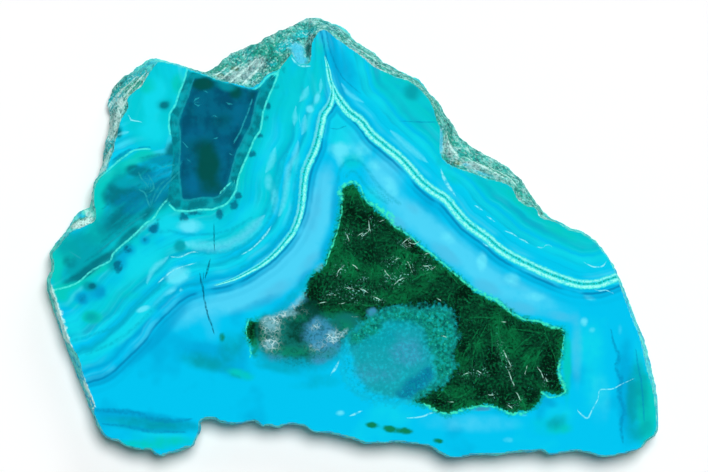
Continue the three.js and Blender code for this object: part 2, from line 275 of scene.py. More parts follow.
# The vein's stem from the peak down to the fork, and the line between the left bands and the right ones.
STEM = ((316, 12), (322, 36), (327, 62), (331, 84), (337, 104))
PARTING = (STEM[0], *(row[:2] for row in VEIN_STEM_AND_RIGHT), (700, 240))
LINES = (
    Marks("growth", Hue.DEEP_TURQUOISE, (
        ((186, 252), (200, 253), (214, 253), (228, 251), (242, 245), (254, 237), (264, 227), (271, 214),
         (275, 200), (277, 186), (281, 170), (287, 152)),
        ((72, 341), (88, 336), (104, 331), (118, 326), (128, 318), (137, 308), (146, 299), (156, 291),
         (166, 284)),
        ((86, 354), (104, 347), (122, 337), (138, 324), (150, 312), (162, 301), (176, 292), (192, 285),
         (208, 281)),
        ((240, 268), (254, 261), (266, 252), (276, 241), (285, 229), (291, 214), (294, 198), (296, 180),
         (300, 164)),
        ((160, 232), (171, 231), (182, 234), (196, 234.5), (213, 234), (226, 231), (238, 226), (252, 218)),
        ((338, 182), (340, 170), (346, 162), (354, 160), (361, 163), (369, 172), (377, 184), (387, 194),
         (400, 204)),
        ((346, 177), (352, 171), (359, 176), (366, 186), (376, 196), (388, 203)),
        ((352, 389), (358, 393), (365, 396.5), (375, 399), (386, 400)),
    ), half_width=1.5, reach=2.0, most=0.5, soft=0.95, worn=0.6),
    Marks("border_faint", Hue.TEAL_LINE, (
        ((179, 172), (172, 179), (165, 186), (160, 193), (155, 201)),
        ((252, 100), (248, 112), (244, 122), (240, 132), (234, 142)),
        ((139, 173), (141, 178), (145, 182), (148, 187)), ((148, 175), (152, 181), (154, 188), (150, 192)),
        ((140, 190), (145, 193), (147, 199), (149, 205)), ((268, 55), (272, 60), (268, 70), (262, 80)),
        ((160, 168), (167, 166), (174, 165)),
        ((298, 353), (305, 357), (312, 359), (320, 357), (328, 352), (334, 346)),
        ((70, 252), (75, 255), (80, 258)), ((194, 101, 0.4), (196, 99, 0.9), (199, 98, 0.5)),
        ((195, 104, 0.4), (198, 106, 0.8), (200, 105, 0.4)),
        ((227, 103, 0.4), (229, 104, 1.1), (232, 104, 0.4)),
        ((213, 116, 0.4), (215, 116, 0.9), (217, 117, 0.3)), ((214, 139, 0.3), (217, 138, 0.8)),
        ((188, 160, 0.5), (190, 161, 0.8)), ((205, 91, 0.4), (207, 92, 0.6)),
        ((230, 154, 0.5), (232, 155, 0.5)), ((183, 142, 0.3), (187, 147, 0.6)),
        ((174, 122, 0.3), (175, 126, 0.5)),
    ), half_width=0.8, reach=1.8, most=0.7, worn=0.7),
    Marks("border_inner", Hue.BORDER_BLUE, (
        ((194, 78), (191, 86), (188, 97), (185, 103), (182, 111), (179, 118), (178, 124), (180, 131),
         (180, 150), (179, 170), (180, 184), (182, 199), (190, 200), (200, 198), (213, 198), (221, 195),
         (228, 185), (232, 170), (236, 155), (241, 144), (246, 134), (251, 125), (254, 112), (256, 102),
         (260, 91)),
        ((181, 163), (174, 170), (170, 177), (163, 182), (158, 188), (154, 196), (150, 207)),
        ((146, 214), (138, 219), (128, 226), (118, 236), (108, 244), (98, 252)),
    ), half_width=0.9, reach=2.4, most=0.75, worn=0.6),
    Marks("border_outer", Hue.MINT, (
        ((40, 294), (54, 290), (70, 286), (80, 281), (90, 272), (98, 267), (105, 264), (111, 260),
         (113, 254), (120, 247), (127, 241), (133, 236), (140, 229), (146, 223), (153, 219), (160, 208),
         (167, 200)),
        ((170, 205), (175, 210), (183, 211), (191, 211), (200, 209.5), (212, 209.5), (218, 207),
         (224, 205.5), (230, 200), (236, 190), (238, 179), (242, 168), (247, 157), (251, 147), (255, 138),
         (260, 131), (262, 122), (263, 113), (266, 104), (269, 96), (273, 87), (277, 77), (279, 70)),
        ((187, 69), (185, 78), (182, 86), (179, 93), (177, 100), (174, 107), (170, 113), (169, 120),
         (169, 128), (170, 134)),
        ((97, 179), (107, 171), (115, 164), (121, 159), (128, 154), (134, 150), (141, 149), (149, 149)),
        ((220, 193), (225, 188), (230, 183)),
        ((254, 89), (259, 87), (262, 83), (267, 77), (273, 74), (278, 73)),
    ), half_width=0.85, reach=2.4, most=0.85, swing=0.4, worn=0.6),
    Marks("pale_streaks", Hue.PALE_AQUA, (
        ((308, 87, 0.8), (306, 92, 2.4), (303, 97, 2.4), (300, 101, 0.8)),
        ((296, 107, 0.5), (295, 112, 1.2), (295, 118, 2.3), (294, 124, 0.8)),
        ((305, 116, 0.8), (304.5, 122, 2.3), (304, 128, 2.5), (302, 134, 0.8)),
        ((321, 79, 0.6), (321, 86, 1.5), (320, 92, 0.6)),
        ((298, 142, 0.8), (296, 152, 2.4), (293, 161, 2.4), (288, 169, 2.4), (287, 182, 2.5),
         (285.5, 194, 2.3), (283, 206, 2.0), (279, 216, 1.0)),
        ((186, 243, 1.5), (193, 245, 3.6), (202, 246, 4.0), (212, 247, 4.0), (222, 246, 4.2),
         (233, 242, 4.2), (243, 236, 4.2), (251, 229, 4.2), (258, 222, 3.4), (264, 216, 1.0)),
        ((147, 283, 0.8), (150, 275, 1.8), (155, 267, 2.4), (162, 262, 2.0), (168, 257, 0.8)),
        ((391, 131, 0.8), (400, 139, 2.2), (412, 150, 2.6), (421, 157, 2.2), (427, 162, 0.6)),
        ((342, 84, 0.6), (347, 92, 1.6), (355, 98, 1.6), (363, 102, 0.6)),
        ((275, 148, 0.8), (273, 156, 2.6), (270, 165, 2.6), (266, 172, 0.8)),
        ((118, 135, 0.6), (123, 133, 1.6), (128, 132, 0.8)),
    ), half_width=2.0, reach=1.7, most=0.52, soft=0.95, worn=0.25),
    Marks("dark_lines", Hue.CRACK, (
        ((210, 260, 0.5), (208.5, 266, 1.1), (207, 272, 0.9), (205, 278, 0.4)),
        ((200, 274, 0.4), (201, 281, 0.9), (203, 288, 1.0), (204, 298, 0.8), (206, 307, 0.9),
         (208, 316, 0.9), (211, 323, 0.9), (214, 333, 0.5)),
        ((214, 224, 0.3), (214, 237, 0.6), (214.5, 250, 0.3)),
    ), half_width=0.9, reach=2.2, most=0.8, swing=0.4),
    Marks("dark_soft_lines", Hue.DEEP_BLUE, (
        ((326, 30, 0.7), (327.5, 40, 0.8), (330, 50, 0.9), (334, 61, 1.0), (338, 70, 0.8), (345, 80, 0.7),
         (360, 93, 0.4)),
        ((611, 330, 0.6), (614, 344, 1.2), (619, 356, 1.8), (616, 368, 2.0), (621, 380, 2.2),
         (619, 395, 2.2), (624, 410, 2.0), (621, 426, 1.8), (623, 442, 1.0)),
        ((95, 410, 1.2), (115, 411, 2.0), (135, 413, 2.4), (152, 419, 2.2), (172, 421, 2.0),
         (192, 419, 0.8)),
        ((103, 424, 0.8), (125, 426, 1.4), (150, 431, 1.8), (185, 432, 0.8)),
        ((636, 350, 0.4), (638, 365, 0.8), (641, 380, 0.9), (643, 400, 0.9), (644, 420, 0.7)),
        ((136, 149, 0.4), (143, 147, 1.2), (150, 147, 0.6)),
        ((113, 160, 0.6), (122, 154, 1.4), (131, 149, 0.8)),
        ((400, 121, 0.3), (420, 122, 0.7), (436, 122, 0.4)),
        ((330, 128, 0.3), (337, 129, 0.7), (346, 126, 0.4)),
    ), half_width=0.9, reach=2.2, most=0.65, soft=0.8, swing=0.5),
    Marks("white_lines", Hue.PALE_LINE, (
        ((291, 56, 0.6), (295, 62, 1.1), (302, 66, 1.2), (310, 66, 0.6)),
        ((441, 170, 0.6), (444, 178, 1.8), (449, 187, 1.6), (455, 195, 0.6)),
        ((271, 227, 0.5), (266, 234, 1.1), (261, 240, 1.0), (256, 245, 0.7), (250, 250, 0.7),
         (243, 254, 0.4)),
        ((172, 257, 0.4), (180, 257, 0.8), (187, 254, 0.7), (191, 252, 0.8), (197, 252, 0.4)),
        ((159, 282, 0.6), (166, 276, 0.9), (172, 271, 0.9), (182, 267, 0.8), (195, 263, 0.4)),
        ((585, 263, 0.4), (594, 267, 0.8), (603, 266, 0.8), (606, 262, 0.4)),
        ((408, 418, 0.4), (416, 417.5, 0.7), (424, 416, 0.8), (431, 413, 0.9), (437, 412, 0.5)),
        ((578, 411, 0.4), (583, 416, 0.9), (588, 418, 0.8), (592, 410, 0.7), (598, 399, 0.6),
         (600, 390, 0.6), (612, 389, 0.7), (622, 384, 0.5), (633, 379, 0.3)),
        ((331, 374, 0.5), (335, 369, 1.4), (339, 361, 0.5)),
        ((350, 416, 0.5), (355, 414, 1.2), (361, 411, 0.7)),
        ((129, 116, 0.4), (131, 120, 0.8), (137, 121, 0.6), (141, 122, 0.4)),
        ((476, 206, 0.5), (479, 208, 1.0), (482, 210, 0.4)),
        ((488, 217, 0.5), (491, 219, 1.0), (494, 221, 0.4)),
        ((505, 231, 0.4), (511, 233, 0.8), (516, 236, 0.4)),
        ((520, 239, 0.4), (525, 241, 0.9), (528, 243, 0.4)),
        ((538, 247, 0.4), (541, 248, 0.9), (543, 247, 0.4)),
        ((546, 245, 0.4), (549, 245, 1.0), (551, 246, 0.4)),
        ((594, 289, 0.4), (600, 291, 0.6), (606, 290, 0.5), (612, 293, 0.4)),
        ((484, 244, 0.4), (487, 246, 0.8)),
    ), half_width=0.8, reach=2.0, most=0.85, worn=0.85, thin=0.8),
)
RIM = Marks("rim", Hue.RIM_GREEN, (
    ((343, 200, 1.2), (340, 194, 2.4), (341, 188, 2.2), (346, 184, 1.6), (352, 182, 1.6), (358, 184, 1.2),
     (362, 190, 0.6), (366, 200, 0.8), (372, 204, 1.6), (379, 208, 2.4), (386, 213, 3.6), (391, 219, 3.0),
     (395, 226, 1.8), (400, 230, 1.0), (410, 236, 0.9), (420, 246, 0.9), (430, 253, 0.9), (441, 262, 1.0),
     (452, 271, 0.8), (462, 280, 1.2), (471, 287, 1.2), (478, 291, 2.2), (486, 295, 2.2), (494, 299, 2.0),
     (501, 304, 1.4), (509, 311, 1.2), (518, 317, 1.0), (529, 320, 0.9), (540, 322, 1.2), (548, 326, 1.8),
     (556, 328, 1.2), (563, 330, 0.6)),
    ((564, 336, 0.5), (562, 352, 0.8), (559, 366, 1.2), (560, 376, 1.8), (563, 384, 1.6), (565, 392, 1.0),
     (558, 396, 0.7), (548, 397, 0.8), (542, 392, 1.4)),
    ((424, 404, 0.9), (430, 407, 1.6), (436, 411, 1.2), (446, 414, 1.0), (458, 411, 1.4), (470, 408, 1.2),
     (484, 406, 1.0), (498, 408, 0.9), (508, 413, 1.0), (518, 414, 1.4), (528, 412, 1.2)),
    ((342, 206, 0.8), (341, 216, 0.7), (337, 232, 0.6), (333, 244, 0.8), (329, 254, 0.8), (326, 264, 0.6)),
    ((249, 320, 0.5), (246, 328, 0.6), (247, 338, 0.5)),
    ((250, 346, 0.5), (251, 352, 1.2), (250, 357, 0.5)),
), half_width=1.2, reach=2.2, most=0.9, soft=0.8, swing=1.1, worn=0.9, thin=0.85)
NEEDLES = Marks("needles", Hue.WHITE, (
    ((353, 265, 0.3), (355, 266, 0.8), (357, 268, 0.4)),
    ((363, 236, 0.3), (366, 233, 0.8), (368, 232, 0.4)), ((359, 235, 0.4), (362, 233, 0.6)),
    ((347, 235, 0.4), (348, 238, 0.6), (349, 240, 0.4)),
    ((337, 275, 0.3), (339, 270, 0.6), (343, 267, 0.5)),
    ((347, 288, 0.4), (350, 288, 0.8), (353, 289, 0.4)),
    ((361, 289, 0.4), (364, 290, 0.9), (367, 292, 0.5)),
    ((330, 295, 0.4), (332, 295, 0.9), (335, 295, 0.3)),
    ((374, 297, 0.4), (377, 298, 1.0), (380, 300, 0.4)),
    ((385, 271, 0.6), (387, 274, 0.8), (389, 276, 0.3)),
    ((395, 284, 0.4), (399, 280, 0.9), (404, 278, 0.4)),
    ((403, 243, 0.3), (406, 240, 0.6), (410, 238, 0.3)), ((404, 245, 0.4), (408, 247, 0.7)),
    ((410, 243, 0.3), (415, 244, 0.5), (418, 242, 0.3)),
    ((369, 222, 0.4), (369, 226, 0.5), (370, 230, 0.3)), ((381, 221, 0.5), (383, 220, 0.6)),
    ((396, 259, 0.5), (399, 258, 0.7)), ((424, 266, 0.5), (428, 266, 0.8), (430, 269, 0.4)),
    ((432, 269, 0.4), (435, 267, 0.7)), ((408, 262, 0.3), (410, 266, 0.5), (412, 272, 0.3)),
    ((504, 351, 0.5), (506, 356, 1.0), (509, 362, 0.6), (511, 366, 0.3)),
    ((508, 370, 0.5), (510, 375, 0.8), (512, 381, 0.8), (514, 385, 0.5)),
    ((503, 322, 0.5), (506, 322, 0.7)), ((478, 371, 0.4), (481, 373, 0.7)),
    ((538, 368, 0.3), (541, 372, 0.6), (543, 377, 0.4)), ((545, 376, 0.3), (547, 381, 0.5)),
    ((525, 373, 0.3), (527, 367, 0.5)), ((517, 393, 0.5), (519, 397, 0.9), (520, 400, 0.4)),
    ((489, 395, 0.6), (493, 395, 0.5)), ((508, 405, 0.4), (512, 408, 0.5)),
    ((449, 402, 0.7), (453, 402, 0.4)), ((353, 317, 0.8), (356, 317, 0.5)),
    ((320, 303, 0.4), (325, 302, 0.5)), ((426, 254, 0.5), (429, 253, 0.5)),
    ((443, 336, 0.5), (446, 337, 0.5)), ((340, 304, 0.3), (344, 303, 0.4)),
    ((465, 374, 0.4), (468, 373, 0.6)), ((438, 299, 0.3), (440, 300, 0.5)),
), half_width=0.5, reach=2.0, most=0.9, soft=0.9, worn=0.95, thin=0.45)
FIBRES = Marks("fibre_strokes", Hue.FIBRE_LIGHT, (
    ((497, 318, 0.5), (499, 335, 1.0), (500, 350, 1.0), (503, 366, 0.5)),
    ((499, 314, 0.4), (505, 326, 0.9), (514, 339, 0.5)),
    ((500, 338, 0.4), (503, 352, 0.9), (507, 364, 0.4)),
    ((478, 330, 0.4), (471, 342, 0.9), (463, 356, 0.5)),
    ((487, 324, 0.4), (480, 338, 0.8), (474, 352, 0.9), (472, 366, 0.4)),
    ((515, 350, 0.4), (523, 342, 0.9), (531, 337, 0.4)),
    ((520, 372, 0.4), (526, 362, 0.9), (532, 352, 0.4)),
    ((533, 370, 0.4), (537, 358, 0.8), (540, 350, 0.4)),
    ((545, 330, 0.4), (550, 345, 0.8), (556, 360, 0.4)),
    ((512, 329, 0.4), (530, 331, 0.9), (546, 334, 0.4)),
    ((490, 322, 0.4), (492, 340, 0.8), (492, 352, 0.4)),
    ((470, 318, 0.4), (480, 317, 0.8), (492, 318, 0.4)),
    ((466, 345, 0.4), (474, 346, 0.7), (482, 342, 0.4)),
    ((438, 384, 0.4), (446, 393, 0.9), (452, 400, 0.4)),
    ((452, 398, 0.4), (462, 396, 0.8), (470, 390, 0.4)),
    ((436, 398, 0.4), (442, 392, 0.7), (446, 386, 0.4)),
    ((347, 196, 0.4), (351, 189, 0.9), (354, 186, 0.4)),
    ((356, 188, 0.4), (361, 197, 0.9), (364, 206, 0.4)),
    ((350, 204, 0.4), (353, 196, 0.7), (356, 190, 0.4)),
    ((346, 250, 0.4), (352, 256, 1.0), (354, 268, 0.9), (352, 276, 0.4)),
    ((338, 252, 0.4), (346, 262, 0.9), (350, 274, 0.4)),
    ((400, 252, 0.5), (408, 254, 1.2), (404, 262, 0.9), (399, 270, 0.4)),
    ((410, 282, 0.4), (418, 277, 0.9), (430, 272, 0.4)),
    ((343, 288, 0.4), (352, 292, 0.7), (362, 296, 0.4)),
    ((376, 262, 0.4), (372, 270, 0.7), (371, 280, 0.4)),
    ((520, 398, 0.4), (524, 404, 0.9), (526, 410, 0.4)),
    ((356, 302, 0.4), (368, 306, 0.8), (380, 304, 0.4)),
    ((440, 262, 0.4), (450, 274, 0.8), (458, 284, 0.4)),
), half_width=0.8, reach=2.0, most=0.55, soft=0.9, swing=0.6, worn=0.8, thin=0.7)
# Near-white rind on the left flank, partly painted light: it is kept near white and runs on over the
# polished face's outer edge, standing for the light that a bevel there catches.
WHITE_FLANK_WITH_PAINTED_LIGHT = Marks("white_flank_with_painted_light", Hue.RIND_WHITE, (
    ((45, 276, 1.2), (49.5, 288, 2.8), (53, 300, 3.4), (58.5, 316, 3.8), (64, 334, 3.4), (70, 350, 2.8),
     (77, 366, 2.0), (84, 380, 1.2), (91, 396, 0.9), (95, 406, 0.5)),
), half_width=2.0, reach=2.0, most=0.96, soft=0.35, swing=0.45, worn=0.3)
RIND_STREAKS = Marks("rind_streaks", Hue.RIND_WHITE, (
    ((92, 226, 1.0), (92.5, 212, 2.2), (93, 200, 1.8), (94, 190, 0.8)),
    ((76, 226, 1.0), (84, 219, 2.4), (92, 216, 1.5)),
    ((113, 136, 1.4), (117, 124, 2.8), (120, 113, 2.8), (123, 102, 2.2), (122, 92, 1.0)),
    ((106, 168, 0.8), (109, 156, 1.4), (113, 146, 1.0)), ((116, 98, 0.5), (126, 84, 1.0), (140, 70, 0.5)),
    ((121, 100, 0.5), (132, 86, 1.0), (147, 70, 0.5)), ((111, 104, 0.5), (118, 91, 0.9), (128, 79, 0.5)),
    ((126, 100, 0.5), (138, 89, 1.2), (152, 72, 0.5)),
    ((437.5, 128, 0.6), (438, 142, 1.0), (440, 156, 0.8)),
    ((338, 42, 1.0), (352, 52, 1.8), (368, 63, 1.8), (382, 71, 1.6), (395, 77, 1.0), (412, 80, 0.6)),
    ((514, 190, 1.2), (515, 200, 2.0), (523, 205, 1.6), (534, 211, 1.2), (538, 216, 1.4)),
    ((222, 78, 0.5), (236, 64, 1.2), (250, 52, 0.5)), ((232, 80, 0.5), (246, 66, 1.4), (262, 50, 0.6)),
    ((242, 84, 0.5), (254, 72, 1.4), (266, 58, 0.6)), ((214, 74, 0.5), (224, 66, 1.0), (232, 58, 0.4)),
    ((450, 128, 0.5), (456, 142, 1.6), (462, 152, 1.0)),
    ((470, 152, 0.6), (488, 162, 1.6), (506, 174, 0.8)),
    ((494, 160, 0.4), (508, 168, 0.8), (518, 180, 0.5)), ((350, 36, 0.5), (372, 50, 1.2), (392, 64, 0.6)),
), half_width=2.0, reach=1.6, most=0.75, soft=0.7, swing=0.5, worn=0.7)
LOBE_DARK = Marks("lobe_dark", Hue.DEEP_TEAL, (
    ((108, 218, 0.8), (122, 207, 2.0), (134, 199, 2.2), (146, 192, 1.0)),
    ((102, 209, 0.6), (116, 199, 1.6), (130, 191, 1.8), (141, 184, 0.8)),
    ((118, 234, 0.8), (133, 222, 2.0), (146, 211, 2.0), (155, 201, 1.0)),
    ((100, 244, 0.8), (114, 232, 1.6), (128, 221, 1.0)), ((84, 262, 0.6), (98, 253, 1.6), (110, 243, 0.8)),
    ((146, 172, 0.8), (158, 167, 2.0), (172, 161, 1.0)),
    ((156, 178, 0.8), (165, 172, 2.0), (176, 166, 1.2)),
    ((154, 196, 0.8), (163, 188, 2.4), (172, 180, 2.0), (178, 172, 1.0)),
    ((70, 278, 0.6), (84, 274, 1.8), (96, 266, 0.8)),
    ((104, 262, 0.8), (118, 254, 1.8), (132, 240, 1.6), (146, 226, 0.8)),
    ((140, 158, 0.6), (156, 155, 1.4), (170, 154, 0.8)),
    ((166, 200, 1.0), (172, 192, 2.2), (176, 184, 1.2)),
), half_width=2.0, reach=1.8, most=0.4, soft=0.95, swing=0.5, worn=0.7)
LOBE_LIGHT = Marks("lobe_light", Hue.TEAL, (
    ((112, 226, 0.6), (126, 215, 1.6), (140, 204, 1.8), (151, 194, 0.8)),
    ((100, 222, 0.6), (112, 211, 1.6), (126, 202, 1.2)),
    ((108, 184, 0.6), (122, 176, 2.0), (136, 168, 1.0)), ((92, 252, 0.6), (106, 241, 1.6), (122, 230, 1.0)),
    ((138, 228, 0.5), (148, 217, 1.2), (158, 206, 0.6)),
    ((144, 165, 0.6), (158, 161, 1.2), (174, 156, 0.6)),
    ((128, 182, 0.6), (140, 176, 1.4), (150, 166, 0.6)),
), half_width=2.0, reach=1.8, most=0.5, soft=0.95, swing=0.5, worn=0.7)


@dataclass(frozen=True)
class Wash:
    """Soft patches of one colour. Each row is x, y, half length, half height, turn in degrees and strength.

    Their edges are ragged by the share and at the size (in millimetres) that are given.
    """

    name: str
    hue: Hue
    patches: tuple[tuple[float, float, float, float, float, float], ...]
    most: float = 1.0
    rag: float = 0.12
    grain: float = 1.6


